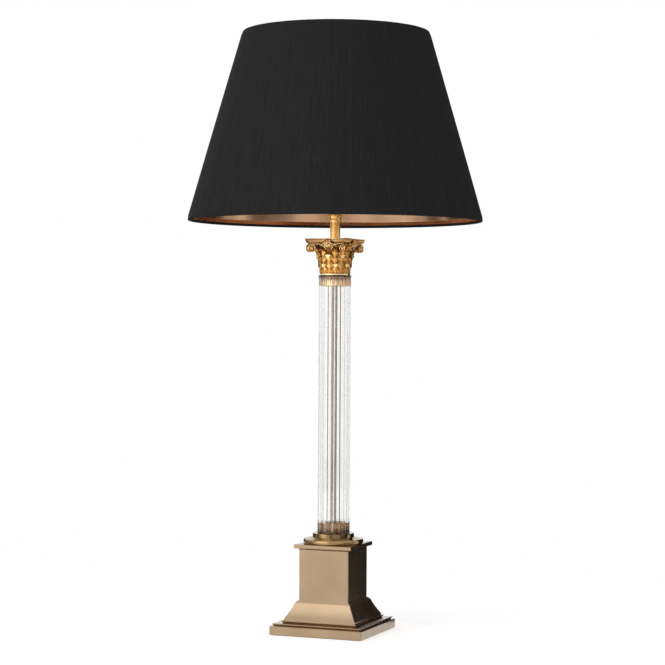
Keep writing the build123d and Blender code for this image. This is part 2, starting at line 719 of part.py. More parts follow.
turned(
    "neck_tube",
    [
        (ROD_PASSAGE_RADIUS, ABACUS_TOP),
        (NECK_RADIUS, ABACUS_TOP),
        (NECK_RADIUS, NECK_TOP - NECK_FLARE_HEIGHT),
        (NECK_RADIUS + NECK_FLARE, NECK_TOP),
        (ROD_PASSAGE_RADIUS, NECK_TOP),
    ],
)
with BuildPart() as neck_collar:
    with BuildSketch(Plane.XZ):
        with BuildLine():
            rim_foot = COLLAR_TOP - COLLAR_RIM_HEIGHT
            collar_foot = Line((ROD_PASSAGE_RADIUS, NECK_TOP), (COLLAR_FOOT_RADIUS, NECK_TOP))
            collar_flare = SagittaArc(
                (COLLAR_FOOT_RADIUS, NECK_TOP), (COLLAR_RADIUS, rim_foot), -COLLAR_SAGITTA
            )
            collar_rim = Polyline(
                (COLLAR_RADIUS, rim_foot),
                (COLLAR_RADIUS, COLLAR_TOP),
                (ROD_PASSAGE_RADIUS, COLLAR_TOP),
                (ROD_PASSAGE_RADIUS, NECK_TOP),
            )
        make_face()
    revolve(axis=Axis.Z)
save(neck_collar.part, "neck_collar")

with BuildPart() as lampholder_cap:
    cap_shoulder = HOLDER_CAP_TOP - HOLDER_CAP_SIDE_HEIGHT
    cap_bore = HOLDER_RADIUS - HOLDER_WALL
    entry_top = HOLDER_CAP_FOOT + HOLDER_ENTRY_HEIGHT
    throat_top = entry_top + HOLDER_ENTRY_FLOOR
    with BuildSketch(Plane.XZ):
        with BuildLine():
            entry = Polyline(
                (ROD_RADIUS, HOLDER_CAP_FOOT),
                (HOLDER_ENTRY_RADIUS, HOLDER_CAP_FOOT),
                (HOLDER_ENTRY_RADIUS, entry_top),
            )
            dome = SagittaArc(
                (HOLDER_ENTRY_RADIUS, entry_top), (HOLDER_RADIUS, cap_shoulder), -HOLDER_DOME_SAGITTA
            )
            cap_wall = Polyline(
                (HOLDER_RADIUS, cap_shoulder),
                (HOLDER_RADIUS, HOLDER_CAP_TOP),
                (cap_bore, HOLDER_CAP_TOP),
                (cap_bore, cap_shoulder + HOLDER_WALL),
            )
            inner_dome = SagittaArc(
                (cap_bore, cap_shoulder + HOLDER_WALL),
                (HOLDER_ENTRY_RADIUS, throat_top),
                HOLDER_DOME_SAGITTA,
            )
            throat = Polyline(
                (HOLDER_ENTRY_RADIUS, throat_top),
                (ROD_RADIUS, throat_top),
                (ROD_RADIUS, HOLDER_CAP_FOOT),
            )
        make_face()
    revolve(axis=Axis.Z)
    with BuildSketch(Plane.YZ):
        with Locations((0, SWITCH_Z)):
            Circle(SWITCH_BAR_RADIUS + SWITCH_HOLE_CLEARANCE)
    extrude(amount=HOLDER_RADIUS + HOLDER_WALL, both=True, mode=Mode.SUBTRACT)
save(lampholder_cap.part, "lampholder_cap")

turned(
    "lampholder_skirt",
    [
        (HOLDER_RADIUS - HOLDER_WALL, HOLDER_CAP_TOP),
        (HOLDER_SHOULDER_RADIUS, HOLDER_CAP_TOP),
        (HOLDER_SHOULDER_RADIUS, HOLDER_CAP_TOP + HOLDER_SHOULDER_THICK),
        (HOLDER_RADIUS, HOLDER_CAP_TOP + HOLDER_SHOULDER_THICK),
        (HOLDER_RADIUS, SKIRT_TOP),
        (HOLDER_RADIUS - HOLDER_WALL, SKIRT_TOP),
    ],
)
turned(
    "lampholder_core",
    [
        (0, CORE_FOOT),
        (HOLDER_RADIUS - HOLDER_WALL, CORE_FOOT),
        (HOLDER_RADIUS - HOLDER_WALL, SHELL_TOP),
        (SHELL_RADIUS, SHELL_TOP),
        (SHELL_RADIUS, CORE_TOP),
        (0, CORE_TOP),
    ],
)
turned(
    "screw_shell",
    [
        (SHELL_BORE_RADIUS, CORE_TOP),
        (SHELL_RADIUS, CORE_TOP),
        (SHELL_RADIUS, SHELL_TOP),
        (SHELL_BORE_RADIUS, SHELL_TOP),
    ],
)
turned(
    "centre_contact",
    [
        (0, CORE_TOP),
        (CONTACT_RADIUS, CORE_TOP),
        (CONTACT_RADIUS - CONTACT_CONE, CORE_TOP + CONTACT_THICK),
        (0, CORE_TOP + CONTACT_THICK),
    ],
)

with BuildPart() as switch_bar:
    with BuildSketch(Plane.YZ.offset(-(SWITCH_BAR_LENGTH + SWITCH_TRAVEL) / 2)):
        with Locations((0, SWITCH_Z)):
            Circle(SWITCH_BAR_RADIUS)
    extrude(amount=SWITCH_BAR_LENGTH)
    fillet(switch_bar.edges().filter_by(GeomType.CIRCLE), SWITCH_BAR_ROUND)
save(switch_bar.part, "switch_bar")

with BuildPart() as shade_ring:
    with BuildSketch(Plane.XY.offset(SHADE_RING_FOOT)):
        Circle(SHADE_RING_RADIUS)
        with PolarLocations(SHADE_RING_RADIUS + SHADE_RING_GRIP_OUT, SHADE_RING_GRIPS):
            Circle(SHADE_RING_GRIP_RADIUS, mode=Mode.SUBTRACT)
        Circle(HOLDER_RADIUS + SHADE_RING_CLEARANCE, mode=Mode.SUBTRACT)
    extrude(amount=SHADE_RING_THICK)
save(shade_ring.part, "shade_ring")

# ==== Shade carrier and bulb ====

with BuildPart() as shade_carrier:
    with BuildSketch(Plane.XY.offset(CARRIER_PLATE_FOOT)):
        Circle(CARRIER_PLATE_RADIUS)
        Circle(HOLDER_RADIUS, mode=Mode.SUBTRACT)
    extrude(amount=CARRIER_PLATE_THICK)
    wire_foot = CARRIER_PLATE_FOOT + CARRIER_PLATE_THICK / 2
    for side in (-1, 1):
        with BuildLine():
            bow = FilletPolyline(
                (side * CARRIER_FOOT_REACH, 0, wire_foot),
                (side * CARRIER_ANKLE, 0, wire_foot + CARRIER_ANKLE_RISE),
                (side * CARRIER_BOW, 0, CARRIER_SHOULDER_Z),
                (side * CARRIER_HEAD_REACH, 0, CARRIER_TOP + SADDLE_THICK / 2),
                radius=(CARRIER_ANKLE_BEND, CARRIER_SHOULDER_BEND),
            )
        with BuildSketch(Plane(origin=bow @ 0, z_dir=bow % 0)):
            Circle(CARRIER_WIRE_RADIUS)
        sweep(path=bow.wire())
    with BuildSketch(Plane.XY.offset(CARRIER_TOP)):
        Circle(SADDLE_RADIUS)
    extrude(amount=SADDLE_THICK)
    with BuildSketch(Plane.XY.offset(SADDLE_TOP)):
        Circle(STUD_RADIUS)
    extrude(amount=STUD_TOP - SADDLE_TOP)
    chamfer(shade_carrier.faces().sort_by(Axis.Z)[-1].edges(), STUD_CHAMFER)
save(shade_carrier.part, "shade_carrier")

turned(
    "bulb_cap",
    [
        (0, BULB_CAP_FOOT),
        (BULB_CAP_TIP_RADIUS, BULB_CAP_FOOT),
        (BULB_CAP_INSULATOR_RADIUS, BULB_CAP_FOOT + BULB_CAP_TIP_HEIGHT),
        (BULB_CAP_RADIUS - BULB_CAP_CHAMFER, BULB_CAP_FOOT + BULB_CAP_CONE_HEIGHT),
        (BULB_CAP_RADIUS, BULB_CAP_FOOT + BULB_CAP_SIDE_FOOT),
        (BULB_CAP_RADIUS, BULB_CAP_TOP),
        (0, BULB_CAP_TOP),
    ],
)


def bulb_envelope(wall_offset):
    """The radial half section of the bulb, a ball on a flared neck, inset by wall_offset."""
    neck = BULB_NECK_RADIUS - wall_offset
    ball = BULB_RADIUS - wall_offset
    places = [math.radians(angle) for angle in (BULB_SHOULDER_ANGLE, BULB_CROWN_ANGLE)]
    ball_start, ball_side = [
        (ball * math.cos(angle), BULB_CENTRE_Z + ball * math.sin(angle)) for angle in places
    ]
    top = (0, BULB_CENTRE_Z + ball)
    foot = BULB_CAP_TOP + wall_offset
    neck_top = foot + BULB_NECK_HEIGHT
    base = Polyline((0, foot), (neck, foot), (neck, neck_top))
    shoulder = SagittaArc((neck, neck_top), ball_start, BULB_SHOULDER_SAGITTA)
    crown = ThreePointArc(ball_start, ball_side, top)
    axis_line = Line(top, (0, foot))
    return [base, shoulder, crown, axis_line]


with BuildPart() as bulb_glass:
    for wall_offset, mode in ((0, Mode.ADD), (BULB_GLASS_THICK, Mode.SUBTRACT)):
        with BuildSketch(Plane.XZ):
            with BuildLine():
                bulb_envelope(wall_offset)
            make_face()
        revolve(axis=Axis.Z, mode=mode)
save(bulb_glass.part, "bulb_glass")

# ==== Shade ====


def shade_skin(name, outer_inset, thick):
    """One conical layer of the shade, outer_inset inside the outer surface."""
    foot = SHADE_FOOT_RADIUS - outer_inset
    top = SHADE_TOP_RADIUS - outer_inset
    turned(
        name,
        [
            (foot - thick, SHADE_FOOT_Z),
            (foot, SHADE_FOOT_Z),
            (top, SHADE_TOP_Z),
            (top - thick, SHADE_TOP_Z),
        ],
    )


shade_skin("shade_cover", 0, COVER_THICK)
shade_skin("shade_lining", COVER_THICK, LINING_THICK)


def wire_ring_radius(height):
    """Radius of a frame ring's centre line, against the inside of the lining."""
    skin = SHADE_FOOT_RADIUS - SHADE_SLOPE * (height - SHADE_FOOT_Z) - COVER_THICK - LINING_THICK
    return skin - SHADE_WIRE_RADIUS * math.hypot(1, SHADE_SLOPE)


def wire_ring(name, height):
    """One of the two rings that the shade is wrapped over."""
    with BuildPart() as ring:
        with BuildSketch(Plane.XZ):
            with Locations((wire_ring_radius(height), height)):
                Circle(SHADE_WIRE_RADIUS)
        revolve(axis=Axis.Z)
    save(ring.part, name)
    return ring.part


BOTTOM_RING_Z = SHADE_FOOT_Z + SHADE_WIRE_RADIUS
TOP_RING_Z = SHADE_TOP_Z - SHADE_WIRE_RADIUS
wire_ring("shade_bottom_ring", BOTTOM_RING_Z)
top_ring = wire_ring("shade_top_ring", TOP_RING_Z)

with BuildPart() as shade_spider:
    with BuildSketch(Plane.XY.offset(HUB_FOOT)):
        Circle(SPIDER_HUB_RADIUS)
        Circle(STUD_RADIUS + STUD_CLEARANCE, mode=Mode.SUBTRACT)
    extrude(amount=SPIDER_HUB_THICK)
    arm_z = HUB_FOOT + SPIDER_HUB_THICK / 2
    ring_inside = wire_ring_radius(TOP_RING_Z) - SHADE_WIRE_RADIUS
    for arm in range(SPIDER_ARMS):
        heading = math.radians(-90 + arm * 360 / SPIDER_ARMS)
        points = (
            (SPIDER_HUB_RADIUS - SPIDER_ROOT, arm_z),
            (ring_inside - SPIDER_KNEE, arm_z + SPIDER_KNEE_RISE),
            (ring_inside, TOP_RING_Z),
        )
        with BuildLine():
            spoke = FilletPolyline(
                *[(r * math.cos(heading), r * math.sin(heading), z) for r, z in points],
                radius=SPIDER_BEND,
            )
        with BuildSketch(Plane(origin=spoke @ 0, z_dir=spoke % 0)):
            Circle(SPIDER_WIRE_RADIUS)
        sweep(path=spoke.wire())
    with BuildSketch(Plane.XY.offset(HUB_FOOT)):
        Circle(STUD_RADIUS + STUD_CLEARANCE)
    extrude(amount=SPIDER_HUB_THICK, both=True, mode=Mode.SUBTRACT)
    add(top_ring, mode=Mode.SUBTRACT)
save(shade_spider.part, "shade_spider")

with BuildPart() as finial:
    with BuildSketch(Plane.XZ):
        with BuildLine():
            bore = STUD_RADIUS + STUD_CLEARANCE
            bore_top = STUD_TOP + STUD_CLEARANCE
            finial_top = FINIAL_FOOT + FINIAL_HEIGHT
            ball_z = finial_top - FINIAL_RADIUS
            waist_z = ball_z - math.sqrt(FINIAL_RADIUS**2 - FINIAL_WAIST_RADIUS**2)
            rim = (FINIAL_FOOT_RADIUS, FINIAL_FOOT + FINIAL_FOOT_HEIGHT)
            waist = (FINIAL_WAIST_RADIUS, waist_z)
            foot_line = Polyline(
                (0, bore_top),
                (bore, bore_top),
                (bore, FINIAL_FOOT),
                (FINIAL_FOOT_RADIUS, FINIAL_FOOT),
                rim,
            )
            cove = SagittaArc(rim, waist, FINIAL_COVE)
            ball = ThreePointArc(waist, (FINIAL_RADIUS, ball_z), (0, finial_top))
            Line((0, finial_top), (0, bore_top))
        make_face()
    revolve(axis=Axis.Z)
save(finial.part, "finial")
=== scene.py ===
import math

import bpy
import numpy as np
from mathutils import Matrix, Vector


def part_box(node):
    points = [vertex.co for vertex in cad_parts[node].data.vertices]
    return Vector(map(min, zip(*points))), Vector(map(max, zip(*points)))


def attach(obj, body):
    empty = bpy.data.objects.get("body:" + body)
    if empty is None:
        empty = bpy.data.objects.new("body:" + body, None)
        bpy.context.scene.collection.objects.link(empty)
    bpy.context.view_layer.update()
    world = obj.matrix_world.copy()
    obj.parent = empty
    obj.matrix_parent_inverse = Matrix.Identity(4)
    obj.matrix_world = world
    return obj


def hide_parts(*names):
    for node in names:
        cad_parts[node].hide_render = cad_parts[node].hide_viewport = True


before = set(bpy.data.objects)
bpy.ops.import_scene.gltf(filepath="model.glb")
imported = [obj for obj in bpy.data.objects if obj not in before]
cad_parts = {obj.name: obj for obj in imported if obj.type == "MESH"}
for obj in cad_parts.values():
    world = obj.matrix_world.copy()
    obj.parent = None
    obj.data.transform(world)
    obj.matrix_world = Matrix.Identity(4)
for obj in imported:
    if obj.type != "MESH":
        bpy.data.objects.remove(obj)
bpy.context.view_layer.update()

# Column table lamp: satin bronze pedestal, fluted glass column, gilt Corinthian capital and a
# black silk shade with a metallised lining. The lamp's sizes below are millimetres, taken from
# the frame's nodes where a node shows them, and its meshes are written in metres. The camera,
# the floor, the cards and the lights are placed in metres.
MM = 0.001
TURN = 2 * math.pi


def span(node):
    """Lowest and highest corner of a CAD node, in millimetres."""
    low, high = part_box(node)
    return np.array(low) / MM, np.array(high) / MM


def linked(name, data):
    """A new object in the scene, with this mesh, camera or light."""
    made = bpy.data.objects.new(name, data)
    bpy.context.scene.collection.objects.link(made)
    return made


# ==== Camera, at the photograph's viewing angle ====

CAMERA_LENS = 108.56
CAMERA_AZIMUTH = math.radians(21.58)
CAMERA_DISTANCE = 3.096
CAMERA_ASIDE = -0.0032
CAMERA_HEIGHT = 0.4838
CAMERA_PITCH = math.radians(-0.41)
CAMERA_ROLL = math.radians(0.317)

camera = linked("camera", bpy.data.cameras.new("camera"))
camera.data.lens = CAMERA_LENS
camera.matrix_world = (
    Matrix.Rotation(CAMERA_AZIMUTH, 4, "Z")
    @ Matrix.Translation((CAMERA_ASIDE, -CAMERA_DISTANCE, CAMERA_HEIGHT))
    @ Matrix.Rotation(math.pi / 2 + CAMERA_PITCH, 4, "X")
    @ Matrix.Rotation(CAMERA_ROLL, 4, "Z")
)
bpy.context.scene.camera = camera

# ==== Materials ====


def linear(colour):
    """A hex sRGB colour as linear red, green, blue and a full alpha."""
    srgb = [int(colour[place : place + 2], 16) / 255 for place in (1, 3, 5)]
    return [c / 12.92 if c <= 0.04045 else ((c + 0.055) / 1.055) ** 2.4 for c in srgb] + [1.0]


def node(tree, kind, inputs, **settings):
    """Add a shader node: settings are its own properties, inputs its sockets by name or number.

    An input that is another node's output socket is linked, and any other value is set.
    """
    made = tree.nodes.new("ShaderNode" + kind)
    for name, value in settings.items():
        setattr(made, name, value)
    for name, value in inputs.items():
        if isinstance(value, bpy.types.NodeSocket):
            tree.links.new(value, made.inputs[name])
        else:
            made.inputs[name].default_value = value
    return made


def blank(name, **sockets):
    """A new material with these values on its shader's sockets, its node tree and its shader."""
    made = bpy.data.materials.new(name)
    made.use_nodes = True
    shader = made.node_tree.nodes["Principled BSDF"]
    for socket, value in sockets.items():
        shader.inputs[socket.replace("_", " ")].default_value = value
    return made, made.node_tree, shader


def wandering(tree, size, detail=2):
    """A soft uneven pattern from 0 to 1 over the object, in patches this many millimetres big."""
    place = node(tree, "TexCoord", {}).outputs["Object"]
    inputs = {"Vector": place, "Scale": 1 / (size * MM), "Detail": detail}
    return node(tree, "TexNoise", inputs).outputs[0]


# Nearly all of a noise texture's values lie between these two
NOISE_LOW = 0.3
NOISE_HIGH = 0.7


def wandered(name, dark, light, patch, polish, grit, depth, **sockets):
    """A finish whose colour and polish wander together in patches, over a fine surface grit.

    The colour runs from dark to light and the roughness through the polish's two values. Patch,
    grit and the grit's depth are in millimetres.
    """
    made, tree, shader = blank(name, **sockets)
    reach = {"Value": wandering(tree, patch), "From Min": NOISE_LOW, "From Max": NOISE_HIGH}
    share = node(tree, "MapRange", reach).outputs[0]
    colour = node(tree, "Mix", {0: share, 6: linear(dark), 7: linear(light)}, data_type="RGBA")
    rough = node(tree, "MapRange", reach | {"To Min": polish[0], "To Max": polish[1]})
    bump = node(tree, "Bump", {"Height": wandering(tree, grit), "Distance": depth * MM})
    tree.links.new(colour.outputs[2], shader.inputs["Base Color"])
    tree.links.new(rough.outputs[0], shader.inputs["Roughness"])
    tree.links.new(bump.outputs[0], shader.inputs["Normal"])
    return made


LACQUER_ROUGHNESS = 0.22


def metal(name, dark, light, patch, polish, grit, depth, lacquer=0.0):
    """A metal or a plating, whose tone and polish wander a little, perhaps under clear lacquer."""
    coat = {"Coat_Weight": lacquer, "Coat_Roughness": LACQUER_ROUGHNESS}
    return wandered(name, dark, light, patch, polish, grit, depth, Metallic=1.0, **coat)


# Stains in the gilding, and the grain that the sand mould left in the casting, in millimetres
GILDING_STAIN = 2.6
GILDING_GRAIN = 0.6
GILDING_GRAIN_DEPTH = 0.08
# How much the stains add to the painted tone, and the span of stain and painted light over
# which each colour gives way to the next
GILDING_STAIN_SHARE = 0.9
GILDING_BODY = (0.45, 1.0)
GILDING_CREST = (1.05, 1.5)
GILDING_POLISH = (0.5, 1.4)


def gilding(name, dark, light, highlight, polish):
    """Toned brass or gilding: bright and smoother on the crests, brown in the hollows.

    The mesh's own tone attribute is 0 in the hollows and 1 on the crests: painted shade in the
    hollows and a painted highlight on the crests, to which random stains add. The roughness runs
    through the polish's two values.
    """
    made, tree, shader = blank(name, Metallic=1.0)
    tone = node(tree, "Attribute", {}, attribute_name="tone").outputs["Fac"]
    stain = wandering(tree, GILDING_STAIN)
    stain_and_painted_light = {0: stain, 1: GILDING_STAIN_SHARE, 2: tone}
    stain_and_painted_light = node(tree, "Math", stain_and_painted_light, operation="MULTIPLY_ADD").outputs[0]
    body = {"Value": stain_and_painted_light, "From Min": GILDING_BODY[0], "From Max": GILDING_BODY[1]}
    body = node(tree, "MapRange", body).outputs[0]
    crest = {"Value": stain_and_painted_light, "From Min": GILDING_CREST[0], "From Max": GILDING_CREST[1]}
    crest = node(tree, "MapRange", crest).outputs[0]
    lower = node(tree, "Mix", {0: body, 6: linear(dark), 7: linear(light)}, data_type="RGBA")
    upper = {0: crest, 6: lower.outputs[2], 7: linear(highlight)}
    colour = node(tree, "Mix", upper, data_type="RGBA").outputs[2]
    rough = {"Value": stain_and_painted_light, "From Min": GILDING_POLISH[0], "From Max": GILDING_POLISH[1]}
    rough = node(tree, "MapRange", rough | {"To Min": polish[0], "To Max": polish[1]}).outputs[0]
    bump = {"Height": wandering(tree, GILDING_GRAIN), "Distance": GILDING_GRAIN_DEPTH * MM}
    bump = node(tree, "Bump", bump).outputs[0]
    tree.links.new(colour, shader.inputs["Base Color"])
    tree.links.new(rough, shader.inputs["Roughness"])
    tree.links.new(bump, shader.inputs["Normal"])
    return made


# The shade's middle radius, on which the silk's threads have their stated width
SILK_PAST_WIRE = 1.5
SHADE_TOP_RADIUS = span("shade_top_ring")[1][0] + SILK_PAST_WIRE
SHADE_MIDDLE = (span("shade_cover")[1][0] + SHADE_TOP_RADIUS) / 2

# Width and length of a streak in millimetres. The real threads are 0.3 mm apart, too fine to
# show, so the warp is drawn about 1.5 mm apart.
SILK_WARP = (1.5, 70)
SILK_WEFT = (40, 1.3)
SILK_SLUB = (2.2, 24)
SILK_RELIEF = 0.05
# Only the strongest streaks are slubs, and the upright threads show more than the level ones
SILK_SLUB_LOW = 0.66
SILK_SLUB_HIGH = 0.8
SILK_TONE_LOW = 0.45
SILK_TONE_HIGH = 0.9
SILK_WEFT_TONE = 0.35
SILK_WARP_RELIEF = 0.7
SILK_SLUB_RELIEF = 1.2


def silk(name):
    """Black silk dupion: a close plain weave, with slubs along some of the upright threads."""
    made, tree, shader = blank(name, Specular_IOR_Level=0.03, Roughness=0.85)
    place = node(tree, "TexCoord", {}).outputs["Object"]
    flat = node(tree, "VectorMath", {0: place, 1: (1, 1, 0)}, operation="MULTIPLY").outputs[0]
    round_about = node(tree, "VectorMath", {0: flat}, operation="NORMALIZE").outputs[0]
    height = node(tree, "VectorMath", {0: place, 1: (0, 0, 1)}, operation="MULTIPLY").outputs[0]

    def threads(width, length, detail):
        """Streaks that fan with the cone, a thread wide and a slub long, in millimetres."""
        across = {0: round_about, "Scale": SHADE_MIDDLE / width}
        up = {0: height, "Scale": 1 / (length * MM)}
        both = {
            0: node(tree, "VectorMath", across, operation="SCALE").outputs[0],
            1: node(tree, "VectorMath", up, operation="SCALE").outputs[0],
        }
        streaks = node(tree, "VectorMath", both, operation="ADD").outputs[0]
        inputs = {"Vector": streaks, "Scale": 1.0, "Detail": detail}
        return node(tree, "TexNoise", inputs).outputs[0]

    warp = threads(*SILK_WARP, 2)
    weft = threads(*SILK_WEFT, 2)
    slub = threads(*SILK_SLUB, 1)
    slub = {"Value": slub, "From Min": SILK_SLUB_LOW, "From Max": SILK_SLUB_HIGH}
    slub = node(tree, "MapRange", slub).outputs[0]
    mixed = {0: weft, 1: SILK_WEFT_TONE, 2: warp}
    mixed = node(tree, "Math", mixed, operation="MULTIPLY_ADD").outputs[0]
    share = {"Value": mixed, "From Min": SILK_TONE_LOW, "From Max": SILK_TONE_HIGH}
    share = node(tree, "MapRange", share).outputs[0]
    plain = {0: share, 6: linear("#262626"), 7: linear("#2e2e2f")}
    plain = node(tree, "Mix", plain, data_type="RGBA").outputs[2]
    cloth = {0: slub, 6: plain, 7: linear("#363637")}
    colour = node(tree, "Mix", cloth, data_type="RGBA").outputs[2]
    ribs = {0: warp, 1: SILK_WARP_RELIEF, 2: weft}
    ribs = node(tree, "Math", ribs, operation="MULTIPLY_ADD").outputs[0]
    relief = {0: slub, 1: SILK_SLUB_RELIEF, 2: ribs}
    relief = node(tree, "Math", relief, operation="MULTIPLY_ADD").outputs[0]
    bump = node(tree, "Bump", {"Height": relief, "Distance": SILK_RELIEF * MM})
    tree.links.new(colour, shader.inputs["Base Color"])
    tree.links.new(bump.outputs[0], shader.inputs["Normal"])
    return made


GLASS_PATCH = 60


def glass(name):
    """Clear pressed glass, fire polished: colourless and bright."""
    made, tree, shader = blank(name, Transmission_Weight=1.0, IOR=1.52, Roughness=0.0)
    tints = {0: wandering(tree, GLASS_PATCH), 6: linear("#fdfdfd"), 7: linear("#f9f9f8")}
    colour = node(tree, "Mix", tints, data_type="RGBA").outputs[2]
    tree.links.new(colour, shader.inputs["Base Color"])
    return made


DULL_WANDER = 0.06


def dull(name, dark, light, patch, roughness, grit, depth):
    """A plastic, rubber, felt, glaze or paint: two close tones in patches and its own grit."""
    return wandered(name, dark, light, patch, (roughness, roughness + DULL_WANDER), grit, depth)


finish = {
    # Dense wool felt: dull, with a soft uneven face
    "felt": dull("wool_felt", "#1c211c", "#2b312a", 5, 0.9, 0.8, 0.4),
    # Brass sheet, plated antique bronze, satin finished and lacquered: soft broad reflections
    "bronze": metal(
        "satin_antique_bronze", "#937b5e", "#a28a6b", 90, (0.25, 0.31), 0.7, 0.005, lacquer=0.8
    ),
    # The same plate, polished: crisp reflections of the studio
    "polished_bronze": metal("polished_bronze", "#957c56", "#a18862", 30, (0.08, 0.11), 3, 0.003),
    # Moulded nylon: black, with a half-matt gloss
    "bush": dull("black_nylon", "#141414", "#1c1c1c", 4, 0.45, 0.5, 0.02),
    # Zinc plated steel: grey and lightly brushed by handling
    "steel": metal("zinc_plated_steel", "#9a9ea0", "#b4b6b6", 6, (0.25, 0.4), 0.6, 0.02),
    # Sand cast iron: dark and rough, as it left the mould
    "iron": metal("cast_iron", "#3a3836", "#4a4745", 8, (0.55, 0.75), 1.5, 0.3),
    # Moulded rubber: black and matt
    "gasket": dull("black_rubber", "#161616", "#202020", 3, 0.7, 0.6, 0.02),
    # Clear pressed glass: the flutes bend what stands behind them
    "column_glass": glass("clear_fluted_glass"),
    # Spun brass cups, polished, the lower one in a darker tone
    "sleeve_brass": gilding("polished_spun_brass", "#75624a", "#cfab84", "#e4c39c", (0.2, 0.08)),
    # Bronze plated steel tube: satin, seen through the glass
    "tube_bronze": metal("satin_bronze_tube", "#7f7163", "#928474", 40, (0.2, 0.3), 1, 0.01),
    # Brass, bronzed nearly black: a thin dark line above the glass
    "dark_plate": metal("blackened_bronze", "#3a2e1f", "#4b3c28", 8, (0.3, 0.4), 1, 0.02),
    # Cast brass, gilt and toned: gold on the crests, a painted highlight, and brown in the
    # hollows, painted shade
    "gilt": gilding("toned_gilding", "#7a4c22", "#dfa252", "#ffe9ad", (0.5, 0.3)),
    # The same, toned further down
    "gilt_brown": gilding("brown_toned_gilding", "#7d5631", "#bd8e59", "#eac792", (0.5, 0.3)),
    # Gilt brass tube: warm yellow, satin
    "satin_gold": metal("satin_gilt_tube", "#f0b266", "#fac77c", 5, (0.24, 0.32), 0.7, 0.02),
    # Pressed lampholder brass: bright and a little uneven
    "holder_brass": metal("pressed_brass", "#b58f4e", "#c9a663", 15, (0.15, 0.25), 1.5, 0.01),
    # Glazed porcelain: off-white and glossy
    "porcelain": dull("glazed_porcelain", "#dcd8cf", "#e8e4dc", 10, 0.15, 2, 0.02),
    # Moulded phenolic: black and glossy
    "switch_plastic": dull("black_phenolic", "#121212", "#1b1a19", 5, 0.25, 1, 0.01),
    # Lacquered brass wire: yellow, drawn smooth
    "carrier_brass": metal("brass_wire", "#b08a48", "#c7a25e", 10, (0.2, 0.32), 1, 0.01),
    # Tinned bulb cap: pale grey, a little dull
    "bulb_cap_metal": metal("tinned_cap", "#aeb0ae", "#c6c7c4", 5, (0.2, 0.35), 0.8, 0.02),
    # Opal glass, milky white and glossy, a little cloudier in places
    "bulb_opal": wandered("opal_glass", "#e9e6df", "#f4f2ec", 30, (0.14, 0.2), 12, 0.02),
    # Black silk dupion: matt, with a faint upright grain
    "silk": silk("black_silk_dupion"),
    # Copper-gold metallised film bonded to card: mirror-like, with faint soft waves
    "lining": metal("copper_gold_foil", "#c39a79", "#d3ac8b", 70, (0.18, 0.24), 25, 0.06),
    # Powder coated wire: white, with a fine orange peel
    "wire_white": dull("white_powder_coat", "#dedcd6", "#e8e6e0", 8, 0.45, 0.5, 0.03),
}

for cad_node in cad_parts.values():
    for slot in cad_node.material_slots:
        slot.material = finish[slot.material.name]

# ==== Surfaces ====


def cells(index):
    """The four corners of every cell of a grid of vertex numbers, in order round the cell."""
    corners = [index[:-1, :-1], index[:-1, 1:], index[1:, 1:], index[1:, :-1]]
    return np.stack(corners, axis=-1).reshape(-1, 4)


def skin(points, ring=False):
    """Vertices and faces of a grid of points whose rows close on themselves, so it has no seam.

    A ring also joins its last row to its first. Otherwise a fan about each end row's middle
    closes it. A fourth coordinate, where there is one, is the finish's tone. The faces are
    turned outwards by the sign of the volume that they enclose.
    """
    rows, columns, width = points.shape
    vertices = points.reshape(-1, width)
    index = np.arange(rows * columns).reshape(rows, columns)
    index = np.concatenate([index, index[:, :1]], axis=1)
    fans = np.empty((0, 3), int)
    if ring:
        index = np.concatenate([index, index[:1]])
    else:
        first, last = rows * columns, rows * columns + 1
        vertices = np.concatenate([vertices, points[[0, -1]].mean(axis=1)])
        foot = [np.full(columns, first), index[0, 1:], index[0, :-1]]
        head = [np.full(columns, last), index[-1, :-1], index[-1, 1:]]
        fans = np.concatenate([np.stack(foot, axis=1), np.stack(head, axis=1)])
    quads = cells(index)
    triangles = np.concatenate([quads[:, :3], quads[:, [0, 2, 3]], fans])
    a, b, c = (vertices[triangles[:, corner], :3] for corner in range(3))
    if np.einsum("ij,ij->", a, np.cross(b, c)) < 0:
        quads, fans = quads[:, ::-1], fans[:, ::-1]
    return vertices, [quads, fans]


def piece(name, slot_name, body, skins, replaces, sharp=35):
    """One finished object made of closed skins, in its slot's finish, riding on a body."""
    vertices = np.concatenate([points for points, _ in skins])
    faces, start = [], 0
    for points, polygons in skins:
        for corners in polygons:
            faces += (corners + start).tolist()
        start += len(points)
    mesh = bpy.data.meshes.new(name)
    mesh.from_pydata(vertices[:, :3] * MM, [], faces, shade_flat=False)
    mesh.set_sharp_from_angle(angle=math.radians(sharp))
    if vertices.shape[1] == 4:
        tone = mesh.attributes.new("tone", "FLOAT", "POINT")
        tone.data.foreach_set("value", vertices[:, 3].astype(np.float32))
    mesh.materials.append(finish[slot_name])
    made = linked(name, mesh)
    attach(made, body)
    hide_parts(*replaces)
    return made


def smooth(share):
    """A share from 0 to 1, eased at both ends: three of its square less two of its cube."""
    share = np.clip(share, 0, 1)
    return share * share * (3 - 2 * share)


def turned(profile, columns=96, heading=0.0):
    """A profile of radius, height and perhaps tone, turned about the column's axis."""
    profile = np.asarray(profile, float)
    turn = heading + np.arange(columns) * TURN / columns
    radius, rest = profile[:, :1], profile[:, 1:, None]
    around = [radius * np.cos(turn), radius * np.sin(turn)]
    carried = [np.repeat(rest[:, k], columns, axis=1) for k in range(rest.shape[1])]
    return np.stack(around + carried, axis=-1)


